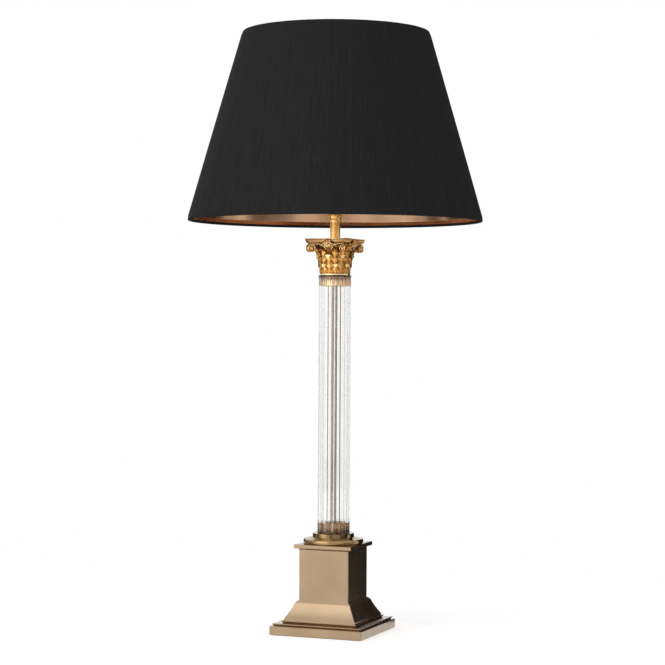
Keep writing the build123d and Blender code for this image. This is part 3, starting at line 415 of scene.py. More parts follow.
def arc(start, end, sagitta, count):
    """Points of a circular arc between two points that bows to the left by the sagitta."""
    start, end = np.asarray(start, float), np.asarray(end, float)
    half = np.hypot(*(end - start)) / 2
    along = (end - start) / (2 * half)
    left = np.array([-along[1], along[0]])
    radius = (half**2 + sagitta**2) / (2 * sagitta)
    angle = np.linspace(-1, 1, count) * 2 * math.atan(sagitta / half)
    rise = sagitta - radius * (1 - np.cos(angle))
    across = radius * np.sin(angle)
    return (start + end) / 2 + across[:, None] * along + rise[:, None] * left


def hollow_sides(sides, corner_x, corner_y, side_distance, count, heading=0.0):
    """A plan of equal concave sides: each is an arc through its two corners and its middle.

    A side's corners are corner_y out and corner_x to either side, and its middle is
    side_distance out. Returns x and y, count points to a side.
    """
    sagitta = corner_y - side_distance
    side = arc((corner_y, -corner_x), (corner_y, corner_x), sagitta, count)
    turn = heading + np.arange(sides) * TURN / sides
    x = side[:, 0] * np.cos(turn)[:, None] - side[:, 1] * np.sin(turn)[:, None]
    y = side[:, 0] * np.sin(turn)[:, None] + side[:, 1] * np.cos(turn)[:, None]
    return x.ravel(), y.ravel()


def bored(rows, radius, top, foot):
    """Rings of points that go up the outside, with a plain round bore added down the inside."""
    turn = np.arctan2(rows[0][:, 1], rows[0][:, 0])
    x, y = radius * np.cos(turn), radius * np.sin(turn)
    bore = [[x, y, np.full(len(turn), z)] for z in (top, foot)]
    return np.concatenate([rows, np.moveaxis(bore, 1, -1)])


# ==== Plinth steps ====

STEP_UNDERCUT = 2.3
STEP_LIP = 1.2
STEP_EDGE = 0.5
STEP_QUIRK = 0.1
SECOND_STEP_HALF = 61.0
ROD_PASSAGE = 5.15


def squared(half_side, z, columns=48):
    """A square ring: a circle whose radius is divided by the larger of its cosine and sine."""
    turn = np.arange(columns) * TURN / columns
    x, y = np.cos(turn), np.sin(turn)
    reach = half_side / np.maximum(np.abs(x), np.abs(y))
    return np.stack([reach * x, reach * y, np.full(columns, z)], axis=-1)


def step_outline(half_side, foot, top):
    """One step from its foot up: an undercut face, a quirk, an upright lip and a narrow bevel."""
    return [
        (half_side - STEP_UNDERCUT, foot),
        (half_side - STEP_EDGE, top - STEP_LIP - STEP_QUIRK),
        (half_side, top - STEP_LIP + STEP_QUIRK),
        (half_side, top - STEP_EDGE),
        (half_side - STEP_EDGE, top),
    ]


steps_low, steps_high = span("plinth_steps")
steps_middle = (steps_low[2] + steps_high[2]) / 2
steps_rows = [
    squared(*corner)
    for corner in step_outline(steps_high[0], steps_low[2], steps_middle)
    + step_outline(SECOND_STEP_HALF, steps_middle, steps_high[2])
]
steps = skin(bored(steps_rows, ROD_PASSAGE, steps_high[2], steps_low[2]), ring=True)
piece("plinth_step_mouldings", "bronze", "lamp_base", [steps], ["plinth_steps"], sharp=20)

# ==== Fluted glass column ====

FLUTES = 18
FLUTE_DEPTH = 1.45
GLASS_BORE = 21.4
ARRIS_FLAT = 0.12
GLASS_EDGE = 0.3
FLUTE_STEPS = 15

glass_low, glass_high = span("glass_column")
GLASS_RADIUS = -glass_low[1]


def fluted_ring(inset):
    """The column's plan: concave flutes between arrises that are polished slightly flat."""
    half_pitch = TURN / FLUTES / 2
    radius = GLASS_RADIUS - inset
    x, y = hollow_sides(
        FLUTES,
        radius * math.sin(half_pitch),
        radius * math.cos(half_pitch),
        radius - FLUTE_DEPTH,
        FLUTE_STEPS,
        heading=-TURN / 4 + half_pitch,
    )
    limit = (radius - ARRIS_FLAT) / np.hypot(x, y)
    return x * np.minimum(limit, 1), y * np.minimum(limit, 1)


def glass_tube():
    """The fluted outside carried up between two eased edges, then down a plain round bore."""
    rows = [
        (GLASS_EDGE, glass_low[2]),
        (0, glass_low[2] + GLASS_EDGE),
        (0, glass_high[2] - GLASS_EDGE),
        (GLASS_EDGE, glass_high[2]),
    ]
    grid = []
    for inset, z in rows:
        x, y = fluted_ring(inset)
        grid.append(np.stack([x, y, np.full(len(x), z)], axis=-1))
    return bored(grid, GLASS_BORE, glass_high[2], glass_low[2])


piece(
    "fluted_glass_column",
    "column_glass",
    "lamp_base",
    [skin(glass_tube(), ring=True)],
    ["glass_column"],
    sharp=25,
)

# ==== Capital ====

casting_low, casting_high = span("capital_casting")
BAND_THICK = 3.0
BAND_RADIUS = 23.9
BAND_TOP = casting_low[2] + BAND_THICK
BEAD_SWELL = 0.25
BEAD_HEAD_INSET = 0.4
ROUND_STEPS = 7
BELL_FOOT = 22.0
BELL_WAIST = 23.2
BELL_WAIST_RISE = 23.5
BELL_WAIST_Z = BAND_TOP + BELL_WAIST_RISE
BELL_LIP = 30.0
BELL_LIP_THICK = 2.0
BELL_LIP_SWELL = 0.6
BELL_FLARE = 1.7
BELL_TOP = casting_high[2]
BELL_LIP_Z = BELL_TOP - BELL_LIP_THICK
BELL_ROWS = 30
BELL_COLUMNS = 120
LEAVES = 8


def bell_radius(z):
    """The bell's wall: nearly straight up to its waist, then a flare by a power of the rise."""
    straight = np.interp(z, (BAND_TOP, BELL_WAIST_Z), (BELL_FOOT, BELL_WAIST))
    share = np.clip((z - BELL_WAIST_Z) / (BELL_LIP_Z - BELL_WAIST_Z), 0, 1)
    return straight + (BELL_LIP - BELL_WAIST) * share**BELL_FLARE


def bell():
    """The casting's core: a beaded neck band, then a vase that flares to a round lip."""
    bead_foot = (BAND_RADIUS - BEAD_SWELL, casting_low[2])
    bead = arc(bead_foot, (BAND_RADIUS - BEAD_HEAD_INSET, BAND_TOP), -BEAD_SWELL, ROUND_STEPS)
    height = np.linspace(BAND_TOP, BELL_LIP_Z, BELL_ROWS)
    wall = np.column_stack([bell_radius(height), height])
    lip = arc((BELL_LIP, BELL_LIP_Z), (BELL_LIP, BELL_TOP), -BELL_LIP_SWELL, ROUND_STEPS)[1:]
    ends = [[(ROD_PASSAGE, z)] for z in (casting_low[2], BELL_TOP)]
    profile = np.concatenate([ends[0], bead, wall, lip, ends[1]])
    # In the order of the profile: under the band, its bead, the wall, the lip and in the bore. The
    # bead is in the highlight colour, a painted highlight, and the wall behind the leaves is
    # painted brown as shade
    tone = np.repeat([0.6, 1.6, 0.1, 0.8, 0.5], [1, len(bead), len(wall), len(lip), 1])
    return turned(np.column_stack([profile, tone]), BELL_COLUMNS)


LEAF_THICK = 2.1
LEAF_LOBES = 3.5
LEAF_ROWS = 84
LEAF_COLUMNS = 56
LEAF_FOOT = BAND_TOP - 0.4
# Where in a lobe the foot of the leaf is, and the power that rounds the lobes
LEAF_LOBE_START = 0.35
LEAF_LOBE_POWER = 0.55
# Shares of the half width that the belly adds, that the notches cut and that the curl takes
LEAF_BELLY = 0.3
LEAF_NOTCH = 0.28
LEAF_CURL_TAKES = 0.3
# The rib's reach as a share of the half width, its rise and the veins' rise, how far the edges
# lie back, where in a lobe a vein starts and how much of one it slants by on its way out, and
# the share of its thickness that the leaf loses at its tip
LEAF_RIB_SHARE = 0.18
LEAF_RIB_RISE = 0.5
LEAF_VEIN_RISE = 0.5
LEAF_EDGE_BACK = 0.9
LEAF_VEIN_START = 0.1
LEAF_VEIN_SLANT = 0.55
LEAF_TIP_THINNED = 0.15


def leaf(foot_radius, half_width, foot, top, lean, curl, fold, turn_over, heading):
    """One acanthus leaf: its spine climbs the bell, turns over at the curl, then hangs.

    The spine's slope is the lean plus the turn-over times the way through the fold, so the spine
    is that slope added up. Across, the leaf is a flat ring whose half width is lobed by the root
    of a sine, with a rib in the middle and veins that fan out to the lobes.
    """
    way = np.linspace(0, 1, LEAF_ROWS)
    bend = np.clip((way - curl) / (1 - curl), 0, 1)
    angle = math.radians(lean) + math.radians(turn_over) * np.clip(bend / fold, 0, 1)
    middles = (angle[:-1] + angle[1:]) / 2
    out = np.concatenate([[0], np.cumsum(np.sin(middles)) * way[1]])
    up = np.concatenate([[0], np.cumsum(np.cos(middles)) * way[1]])
    length = (top - foot) / up.max()
    spine_radius = foot_radius + out * length
    spine_height = foot + up * length

    # Widest above its middle, notched between the lobes, narrower past the curl, round at the tip
    belly = 1 - LEAF_BELLY + LEAF_BELLY * np.sin(math.pi * way**0.8) ** 0.7
    lobes = np.abs(np.sin(math.pi * (LEAF_LOBES * way + LEAF_LOBE_START))) ** LEAF_LOBE_POWER
    notched = 1 - LEAF_NOTCH + LEAF_NOTCH * lobes
    curled = 1 - LEAF_CURL_TAKES * smooth(bend * 1.5)
    tip = np.sqrt(np.clip(1.02 - way**16, 0.03, 1))
    width = half_width * (belly * notched * (curled * tip))

    around = np.arange(LEAF_COLUMNS) * TURN / LEAF_COLUMNS
    across = np.cos(around)
    front = np.sin(around)
    ribbed = np.exp(-((across / LEAF_RIB_SHARE) ** 2))
    spread = np.abs(across)
    # Veins slant out from the rib, which stands proud, and the edges lie back against the bell
    vein = LEAF_LOBES * way[:, None] + LEAF_VEIN_START - LEAF_VEIN_SLANT * spread
    veins = np.cos(TURN * vein)
    relief = LEAF_RIB_RISE * ribbed - LEAF_EDGE_BACK * spread**2
    relief = relief + LEAF_VEIN_RISE * veins * spread * (front > 0)
    relief = relief * np.sin(math.pi * np.clip(way, 0.04, 0.9))[:, None] ** 0.4
    offset = relief + LEAF_THICK / 2 * front * (1 - LEAF_TIP_THINNED * way[:, None] ** 2)
    radius = spine_radius[:, None] + offset * np.cos(angle)[:, None]
    height = spine_height[:, None] - offset * np.sin(angle)[:, None]
    turn = heading + across * width[:, None] / spine_radius[:, None]
    # On the face the rib and veins are painted brighter and the edges darker, as highlight and
    # shade. The fold shows the leaf's back, painted bright there as a highlight, and the front
    # under the fold is painted darker as shade
    turned_over = smooth(bend * 1.6)[:, None]
    face = 0.4 + 0.34 * veins * spread**0.5 + 0.28 * ribbed - 0.3 * spread**4
    back = 0.1 + (1.0 - 0.6 * spread**2) * turned_over
    tone = np.where(front > -0.2, face - 0.3 * turned_over, back)
    # Darker towards the leaf's foot
    tone = tone * smooth(way * 6 + 0.25)[:, None]
    return np.stack([radius * np.cos(turn), radius * np.sin(turn), height, tone], axis=-1)


def leaf_row(heading, count=LEAVES, **shape):
    """Equal leaves all round the bell."""
    turns = heading + np.arange(count) * TURN / count
    return [skin(leaf(heading=turn, **shape)) for turn in turns]


STALK_STEPS = 22
RUN_STEPS = 7
SPIRAL_STEPS = 100
RIBBON_COLUMNS = 24
# The powers that flatten the section, the share of its width that it loses at the heart, and
# its brown and its bright tone
RIBBON_FLANK_POWER = 0.7
RIBBON_FRONT_POWER = 0.9
RIBBON_NARROWED = 0.15
RIBBON_BROWN = 0.2
RIBBON_BRIGHT = 0.75


def wound_ribbon(radius, heart, turns, band, run, stalk, stalk_turn):
    """A ribbon's centre line: an arc up, a level run and an even spiral in to its heart.

    Returns how far out, how far up and how far along each point is, with the spiral's eye at
    nought, and the directions along the line. The arc has the stalk's radius and the windings
    are as far apart as the spiral's radius shrinks in a turn.
    """
    middle = radius - band / 2
    rising = np.linspace(stalk_turn, 0, STALK_STEPS)[:-1] + TURN / 4
    wound = np.linspace(0, 1, SPIRAL_STEPS)
    winding = TURN / 4 - wound * turns * TURN
    shrunk = middle + (heart - middle) * wound
    level = np.linspace(-run, 0, RUN_STEPS)[:-1]
    out = np.concatenate([stalk * np.cos(rising) - run, level, shrunk * np.cos(winding)])
    climb = stalk * (np.sin(rising) - 1) + middle
    up = np.concatenate([climb, np.full(len(level), middle), shrunk * np.sin(winding)])
    along = np.stack([np.gradient(out), np.gradient(up)])
    return out, up, np.linspace(0, 1, len(out)), along / np.hypot(*along)


def ribbon_section(band, width, way):
    """Across and offset of points round the ribbon, and their tone, for every place along it.

    The section is an oval, flattened by a power, that narrows towards the heart. Its flanks are
    painted bright as a highlight, and its back and front, where the windings touch, are painted
    brown as shade.
    """
    around = np.arange(RIBBON_COLUMNS) * TURN / RIBBON_COLUMNS
    flank = np.sign(np.cos(around)) * np.abs(np.cos(around)) ** RIBBON_FLANK_POWER
    front = np.sign(np.sin(around)) * np.abs(np.sin(around)) ** RIBBON_FRONT_POWER
    across = width / 2 * flank * (1 - RIBBON_NARROWED * way[:, None])
    offset = band / 2 * front * np.ones_like(across)
    tone = RIBBON_BROWN + RIBBON_BRIGHT * np.abs(flank) ** 2
    return across, offset, tone * np.ones_like(across)


VOLUTE = {
    "radius": 7.4,
    "heart": 2.1,
    "turns": 1.6,
    "band": 1.9,
    "run": 8.0,
    "stalk": 14.0,
    "stalk_turn": math.radians(65),
}
VOLUTE_WIDTH = 4.6
VOLUTE_REACH = 47.0
VOLUTE_SPREAD = math.radians(27)
VOLUTE_OFFSET = 5.2
EYE_PROUD = 0.7
EYE_CLEAR = 0.1
EYE_TONE = 1.3
EYE_POLE = 0.1
EYE_ROWS = 12
EYE_COLUMNS = 20
HELIX = {
    "radius": 3.9,
    "heart": 1.1,
    "turns": 1.3,
    "band": 1.4,
    "run": 1.5,
    "stalk": 8.5,
    "stalk_turn": math.radians(80),
}
HELIX_WIDTH = 2.6
HELIX_ASIDE = 4.1
HELIX_PROUD = 0.9


def volute_place(side, corner, out, up, across):
    """Where the ribbon's plane stands: it swings off the corner's diagonal to the side."""
    eye = VOLUTE_REACH - VOLUTE["radius"] * math.cos(VOLUTE_SPREAD)
    turn = math.pi / 4 + corner * math.pi / 2
    swing = turn - side * VOLUTE_SPREAD
    aside = side * VOLUTE_OFFSET
    x = eye * math.cos(turn) - aside * math.sin(turn) + out * math.cos(swing)
    y = eye * math.sin(turn) + aside * math.cos(turn) + out * math.sin(swing)
    x = x + across * math.sin(swing)
    y = y - across * math.cos(swing)
    return x, y, BELL_TOP - VOLUTE["radius"] + up


def helix_place(side, corner, out, up, across):
    """Where the small ribbon lies: wrapped on the bell's own flare, beside a hollow side."""
    z = BELL_TOP - HELIX["radius"] + up
    radius = bell_radius(z) + HELIX_PROUD + across
    turn = corner * math.pi / 2 + side * (HELIX_ASIDE - out) / BELL_LIP
    return radius * np.cos(turn), radius * np.sin(turn), z


# A painted highlight on what faces up, and painted shade below the scroll's eye
SCROLL_PAINTED_HIGHLIGHT = 0.7
SCROLL_PAINTED_SHADE = 0.55


def scroll(place, side, corner, ribbon, width):
    """A ribbon that springs from the bell and winds in under the abacus, on its own surface.

    What faces up is painted brighter as a highlight, and what lies below the scroll's eye is
    painted browner as shade.
    """
    out, up, way, along = wound_ribbon(**ribbon)
    across, offset, tone = ribbon_section(ribbon["band"], width, way)
    facing_up = along[0][:, None] * offset * 2 / ribbon["band"]
    below = np.clip(-up / ribbon["radius"], 0, 1)[:, None]
    tone = tone + SCROLL_PAINTED_HIGHLIGHT * np.clip(facing_up, 0, 1) - SCROLL_PAINTED_SHADE * below
    out = out[:, None] - along[1][:, None] * offset
    up = up[:, None] + along[0][:, None] * offset
    return np.stack([*place(side, corner, out, up, across), tone], axis=-1)


def scroll_eye(place, side, corner, ribbon, width):
    """The round button at the heart of a scroll: a flattened ball that shows on both faces."""
    turn = np.linspace(EYE_POLE, math.pi - EYE_POLE, EYE_ROWS)[:, None]
    around = np.arange(EYE_COLUMNS) * TURN / EYE_COLUMNS
    radius = (ribbon["heart"] - EYE_CLEAR) * np.sin(turn)
    across = -(width / 2 + EYE_PROUD) * np.cos(turn) * np.ones(EYE_COLUMNS)
    x, y, z = place(side, corner, radius * np.cos(around), radius * np.sin(around), across)
    return np.stack([x, y, z, np.full(x.shape, EYE_TONE)], axis=-1)


# The web's share of the ribbon's width, and how much of its radius the spiral loses in a turn
WEB_SHARE = 0.5
SPIRAL_SHRINK = 0.3
WEB_COLUMNS = 40


def scroll_web(place, side, corner, ribbon, width):
    """The thin disc that backs the windings, sunk below their faces and painted brown as shade."""
    around = np.arange(WEB_COLUMNS) * TURN / WEB_COLUMNS
    reach = (ribbon["radius"] - ribbon["band"] / 2) * np.array([0.05, 1, 1, 0.05])[:, None]
    across = WEB_SHARE * width / 2 * np.array([-1, -1, 1, 1])[:, None] * np.ones(WEB_COLUMNS)
    # The spiral shrinks as it turns down from the top, so the disc shrinks with it
    shrink = 1 - SPIRAL_SHRINK * ((TURN / 4 - around) % TURN) / TURN
    x, y, z = place(
        side, corner, reach * shrink * np.cos(around), reach * shrink * np.sin(around), across
    )
    return np.stack([x, y, z, np.zeros(x.shape)], axis=-1)


ABACUS_CORNER = 48.4
ABACUS_HALF_CUT = 5.5
ABACUS_SIDE = 31.5
ABACUS_INSET = 5.4
ABACUS_EDGE = 1.9
ABACUS_QUIRK_INSET = 0.9
ABACUS_QUIRK_FOOT = 0.5
ABACUS_QUIRK_TOP = 0.2
ABACUS_ROUND = 0.6
ABACUS_SWELL = 1.1
ABACUS_COLUMNS = 30
OVOLO_STEPS = 12

piece("capital_bell", "gilt", "lamp_base", [skin(bell())], ["capital_casting"])
upper_leaves = leaf_row(
    0,
    foot_radius=22.8,
    half_width=8.8,
    foot=LEAF_FOOT,
    top=582.3,
    lean=5,
    curl=0.72,
    fold=0.6,
    turn_over=178,
)
lower_leaves = leaf_row(
    math.pi / LEAVES,
    foot_radius=22.4,
    half_width=8.8,
    foot=LEAF_FOOT,
    top=567.8,
    lean=2,
    curl=0.63,
    fold=0.45,
    turn_over=182,
)
calyx_leaves = leaf_row(
    math.pi / LEAVES,
    foot_radius=23.6,
    half_width=6.0,
    foot=562.0,
    top=589.0,
    lean=9,
    curl=0.72,
    fold=1.0,
    turn_over=150,
)
corner_leaves = leaf_row(
    math.pi / 4,
    count=4,
    foot_radius=23.6,
    half_width=7.0,
    foot=572.0,
    top=591.0,
    lean=30,
    curl=0.6,
    fold=1.0,
    turn_over=110,
)
for leaves_name, leaves in (
    ("acanthus_leaves", upper_leaves + lower_leaves),
    ("calyx_leaves", calyx_leaves + corner_leaves),
):
    piece(leaves_name, "gilt", "lamp_base", leaves, ["capital_casting"])
sides_and_corners = [(side, corner) for side in (-1, 1) for corner in range(4)]
for scrolls_name, place, ribbon, width in (
    ("corner_volutes", volute_place, VOLUTE, VOLUTE_WIDTH),
    ("inner_helices", helix_place, HELIX, HELIX_WIDTH),
):
    scrolls = [
        skin(make(place, *spot, ribbon, width))
        for make in (scroll, scroll_eye, scroll_web)
        for spot in sides_and_corners
    ]
    piece(scrolls_name, "gilt", "lamp_base", scrolls, ["capital_casting"])

# ==== Abacus and its flowers ====

abacus_low, abacus_high = span("abacus")


def abacus_slab():
    """A moulded slab on a plan of four hollow sides and cut corners.

    Each row is the plan drawn in by an inset: a quarter round that swells out from the foot, a
    small quirk, and an upright edge that is rounded over at its top.
    """
    foot, top = abacus_low[2], abacus_high[2]
    ovolo_top = (ABACUS_QUIRK_INSET, top - ABACUS_EDGE - ABACUS_QUIRK_FOOT)
    ovolo = arc((ABACUS_INSET, foot), ovolo_top, ABACUS_SWELL, OVOLO_STEPS)
    quirk = [(ABACUS_QUIRK_INSET, top - ABACUS_EDGE - ABACUS_QUIRK_TOP)]
    edge = arc((0.0, top - ABACUS_EDGE), (ABACUS_ROUND, top), -ABACUS_ROUND / 2, ROUND_STEPS)
    rows = np.concatenate([ovolo, quirk, edge])
    grid = []
    for inset, z in rows:
        corner = ABACUS_CORNER - inset
        corner_x = (corner - ABACUS_HALF_CUT) / math.sqrt(2)
        corner_y = (corner + ABACUS_HALF_CUT) / math.sqrt(2)
        x, y = hollow_sides(4, corner_x, corner_y, ABACUS_SIDE - inset, ABACUS_COLUMNS)
        grid.append(np.stack([x, y, np.full(len(x), z)], axis=-1))
    grid = bored(grid, ROD_PASSAGE, top, foot)
    # The quarter round and the edge are painted lighter towards their tops as a highlight, and the
    # quirk is painted brown as shade
    ovolo_tone = np.linspace(0.3, 0.8, len(ovolo))
    edge_tone = np.linspace(0.9, 1.3, len(edge))
    tone = np.concatenate([ovolo_tone, [0.1], edge_tone, [0.5, 0.5]])
    return np.dstack([grid, np.repeat(tone[:, None], grid.shape[1], axis=1)])


FLOWER_PETALS = 8
FLOWER_RADIUS = 6.4
FLOWER_ROWS = 22
FLOWER_COLUMNS = 96
FLOWER_PLATE = 1.4
FLOWER_RIDGE = 1.9
FLOWER_BUTTON = 2.4
FLOWER_BUTTON_REACH = 0.34
# The power that rounds the petals, how deep the notches between them cut, and how much lower a
# petal's ridge is in them
PETAL_POWER = 0.6
PETAL_NOTCH = 0.2
PETAL_LOWER = 0.65
FLOWER_BELOW_TOP = 0.4
FLOWER_FACE = -span("fleurons")[0][1]


def flower(quarter):
    """A rosette at the middle of one hollow side, with a button at its heart.

    Its outline swells at each petal by a cosine, and its height is a ridge down each petal that
    falls off towards the rim.
    """
    reach = np.concatenate([np.linspace(0.04, 1, FLOWER_ROWS), [1.0]])[:, None]
    around = np.arange(FLOWER_COLUMNS) * TURN / FLOWER_COLUMNS
    petal = np.abs(np.cos(around * FLOWER_PETALS / 2)) ** PETAL_POWER
    radius = FLOWER_RADIUS * reach * (1 - PETAL_NOTCH * (1 - petal) * reach)
    swell = np.sin(math.pi * np.clip(reach * 0.8 + 0.12, 0, 1))
    ridge = FLOWER_RIDGE * swell * (1 - PETAL_LOWER + PETAL_LOWER * petal)
    button = FLOWER_BUTTON * np.sqrt(np.clip(1 - (reach / FLOWER_BUTTON_REACH) ** 2, 0, 1))
    height = np.maximum(ridge, button) + FLOWER_PLATE
    height[-1] = 0
    base = FLOWER_FACE - np.max(height)
    turn = quarter * math.pi / 2
    middle = abacus_high[2] - FLOWER_RADIUS - FLOWER_BELOW_TOP
    sideways = radius * np.cos(around)
    out = base + height
    x = out * math.cos(turn) - sideways * math.sin(turn)
    y = out * math.sin(turn) + sideways * math.cos(turn)
    z = middle + radius * np.sin(around)
    tone = 0.35 + 0.95 * petal * reach + 0.8 * (button > ridge)
    return np.stack([x, y, z, tone + 0 * x], axis=-1)


piece("moulded_abacus", "gilt_brown", "lamp_base", [skin(abacus_slab(), ring=True)], ["abacus"])
flowers = [skin(flower(quarter)) for quarter in range(4)]
piece("abacus_flowers", "gilt", "lamp_base", flowers, ["fleurons"])

# ==== Brass cups cemented into the ends of the glass ====

CUP_WALL = 0.8
CUP_BEAD = 0.5
CUP_ROUND = 0.8
CUP_ROUND_MIDDLE = 0.25
CUP_COLUMNS = 144
CEMENTED = 0.06
TUBE_RADIUS = span("centre_tube")[1][0]


def brass_cup(floor_z, rim_z, tone):
    """A spun cup: out along its floor, up its wall to a beaded rim, and down its inside.

    Its wall stands a hair inside the glass, as a cup does that is cemented in, so that the
    glass magnifies it.
    """
    inwards = math.copysign(1, rim_z - floor_z)
    outer = GLASS_BORE + CEMENTED
    inner = outer - CUP_WALL
    profile = [
        (TUBE_RADIUS, floor_z),
        (outer - CUP_ROUND, floor_z),
        (outer - CUP_ROUND_MIDDLE, floor_z + inwards * CUP_ROUND_MIDDLE),
        (outer, floor_z + inwards * CUP_ROUND),
        (outer, rim_z - inwards * 2 * CUP_BEAD),
        (outer, rim_z - inwards * CUP_BEAD),
        (outer - CUP_BEAD, rim_z),
        (inner, rim_z - inwards * CUP_BEAD),
        (inner, floor_z + inwards * CUP_WALL),
        (TUBE_RADIUS, floor_z + inwards * CUP_WALL),
    ]
    return turned([(*corner, tone) for corner in profile], CUP_COLUMNS)


lower_cup, upper_cup = span("lower_sleeve"), span("upper_sleeve")
for cup_name, cup_node, floor_z, rim_z, tone in (
    ("lower_brass_cup", "lower_sleeve", lower_cup[0][2], lower_cup[1][2], 0.15),
    ("upper_brass_cup", "upper_sleeve", upper_cup[1][2], upper_cup[0][2], 0.75),
):
    cup = [skin(brass_cup(floor_z, rim_z, tone), ring=True)]
    piece(cup_name, "sleeve_brass", "lamp_base", cup, [cup_node], sharp=40)

# ==== Shade: silk over a rolled edge, and its metallised lining ====

FABRIC = 0.7
FRAME_WIRE = 1.5
COVER_CLEAR = 2.94
COVER_EASE = 6
COVER_HEM_START = 0.5
COVER_NEAR_HEM = 8
# Rows of points round the wire, near the hem and from there to the middle
COVER_ROWS = (30, 10, 14)
# Waves where the cloth pulls: depth in millimetres, number to a turn, lean in radians to a
# millimetre of height, and start
COVER_PULLS = ((0.12, 17, 0.02, 0), (0.1, 29, -0.013, 1))
TUCK = math.radians(55)
LINING_OFFSET = 1.77
LINING_TURN_SLOPE = 0.42
LINING_TURN_RISE = 7.4
LINING_THICK = 0.5
LINING_SHORT = 1.2
LINING_NEAR_FOOT = 10
# Rows of points near the foot and from there to the top
LINING_ROWS = (16, 40)
SHADE_COLUMNS = 240
SEAM_WIDTH = 9.0
SEAM_PROUD = 0.28
SEAM_SHORT = 3
SEAM_POWER = 0.5
SEAM_ROWS = 60
SEAM_COLUMNS = 20



def wire_centre(ring_node):
    """Radius and height of the middle of the wire of a ring of the shade's frame."""
    low, high = span(ring_node)
    return np.array([high[0] - FRAME_WIRE, (low[2] + high[2]) / 2])


foot_centre = wire_centre("shade_bottom_ring")
top_centre = wire_centre("shade_top_ring")
SLANT = np.hypot(*(top_centre - foot_centre))
up_slant = (top_centre - foot_centre) / SLANT
outwards = np.array([up_slant[1], -up_slant[0]])


def slanted(offset, rise):
    """Radius and height of points given by their offset from the line of the ring centres."""
    return foot_centre + offset[:, None] * outwards + rise[:, None] * up_slant


def band(line, thickness):
    """A closed thin section: a line with half its thickness laid to either side."""
    along = np.gradient(line, axis=0)
    along /= np.hypot(along[:, 0], along[:, 1])[:, None]
    across = np.column_stack([along[:, 1], -along[:, 0]]) * thickness / 2
    return np.concatenate([line + across, (line - across)[::-1]])


def silk_section():
    """The silk from its end tucked behind the foot wire, round it, up, over and in at the top."""
    roll = FRAME_WIRE + FABRIC / 2
    wound = np.linspace(TUCK, TURN, COVER_ROWS[0])
    near_hem = np.linspace(COVER_HEM_START, COVER_NEAR_HEM, COVER_ROWS[1])
    to_middle = np.linspace(COVER_NEAR_HEM, SLANT / 2, COVER_ROWS[2])[1:]
    face_rise = np.concatenate([near_hem, to_middle])
    face = roll + (COVER_CLEAR - FABRIC / 2 - roll) * smooth(face_rise / COVER_EASE)
    half_offset = np.concatenate([roll * np.cos(wound), face])
    half_rise = np.concatenate([roll * np.sin(wound), face_rise])
    offset = np.concatenate([half_offset, half_offset[-2::-1]])
    rise = np.concatenate([half_rise, SLANT - half_rise[-2::-1]])
    return band(slanted(offset, rise), FABRIC)


def silk_cover():
    """The silk section turned about the axis, a hair uneven where the cloth pulls.

    The unevenness is a sum of leaning waves, each about a tenth of a millimetre deep.
    """
    grid = turned(silk_section(), SHADE_COLUMNS, heading=TURN / 4)
    turn = np.arctan2(grid[..., 1], grid[..., 0])
    height = grid[..., 2]
    ripple = sum(
        depth * np.sin(count * turn + lean * height + start)
        for depth, count, lean, start in COVER_PULLS
    )
    grid[..., :2] *= (1 + ripple / SHADE_MIDDLE)[..., None]
    return grid


def lining_wall():
    """The film on its card, drawn in over the foot wire and straight up to the top one."""
    foot = FRAME_WIRE + FABRIC
    near_foot = np.linspace(foot, LINING_NEAR_FOOT, LINING_ROWS[0])
    to_top = np.linspace(LINING_NEAR_FOOT, SLANT - LINING_SHORT, LINING_ROWS[1])[1:]
    rise = np.concatenate([near_foot, to_top])
    offset = LINING_OFFSET - LINING_TURN_SLOPE * np.clip(LINING_TURN_RISE - rise, 0, None)
    return turned(band(slanted(offset, rise), LINING_THICK), SHADE_COLUMNS, heading=TURN / 4)


def lapped_seam():
    """The turned edge of the silk where its two ends overlap, straight up the back.

    A flattened oval, as wide as the lap, carried up the slant and bent round the cone.
    """
    around = np.arange(SEAM_COLUMNS) * TURN / SEAM_COLUMNS
    side = np.sign(np.cos(around)) * np.abs(np.cos(around)) ** SEAM_POWER
    front = np.sign(np.sin(around)) * np.abs(np.sin(around)) ** SEAM_POWER
    across = side * SEAM_WIDTH / 2
    proud = COVER_CLEAR + SEAM_PROUD * front
    rise = np.linspace(SEAM_SHORT, SLANT - SEAM_SHORT, SEAM_ROWS)[:, None, None]
    line = foot_centre + proud[:, None] * outwards + rise * up_slant
    radius, height = line[..., 0], line[..., 1]
    turn = TURN / 4 + across / radius
    return np.stack([radius * np.cos(turn), radius * np.sin(turn), height], axis=-1)


silk_piece = piece(
    "silk_cover", "silk", "shade", [skin(silk_cover(), ring=True)], ["shade_cover"], sharp=60
)
seam_piece = piece("silk_seam", "silk", "shade", [skin(lapped_seam())], [], sharp=60)
lining = [skin(lining_wall(), ring=True)]
piece("foil_lining", "lining", "shade", lining, ["shade_lining"], sharp=60)

# ==== Floor, background and lights ====

FLOOR_RADIUS = 1.0
FLOOR_CLEAR = 0.3
FLOOR_LIFT = 0.5
FLOOR_CORNERS = 72
WORLD_LIGHT = 0.55
LAMP_MIDDLE = 0.46


def toward(azimuth, distance, height):
    """A place that many degrees anticlockwise of the camera, seen from above."""
    turn = CAMERA_AZIMUTH + math.radians(azimuth) - TURN / 4
    return distance * math.cos(turn), distance * math.sin(turn), height


def background_rays(tree):
    """One for the rays that are to see the white background: the camera's, gloss and glass."""
    rays = node(tree, "LightPath", {}).outputs
    seen = {0: rays["Is Camera Ray"], 1: rays["Is Glossy Ray"]}
    seen = node(tree, "Math", seen, operation="MAXIMUM").outputs[0]
    through = {0: seen, 1: rays["Is Transmission Ray"]}
    return node(tree, "Math", through, operation="MAXIMUM").outputs[0]


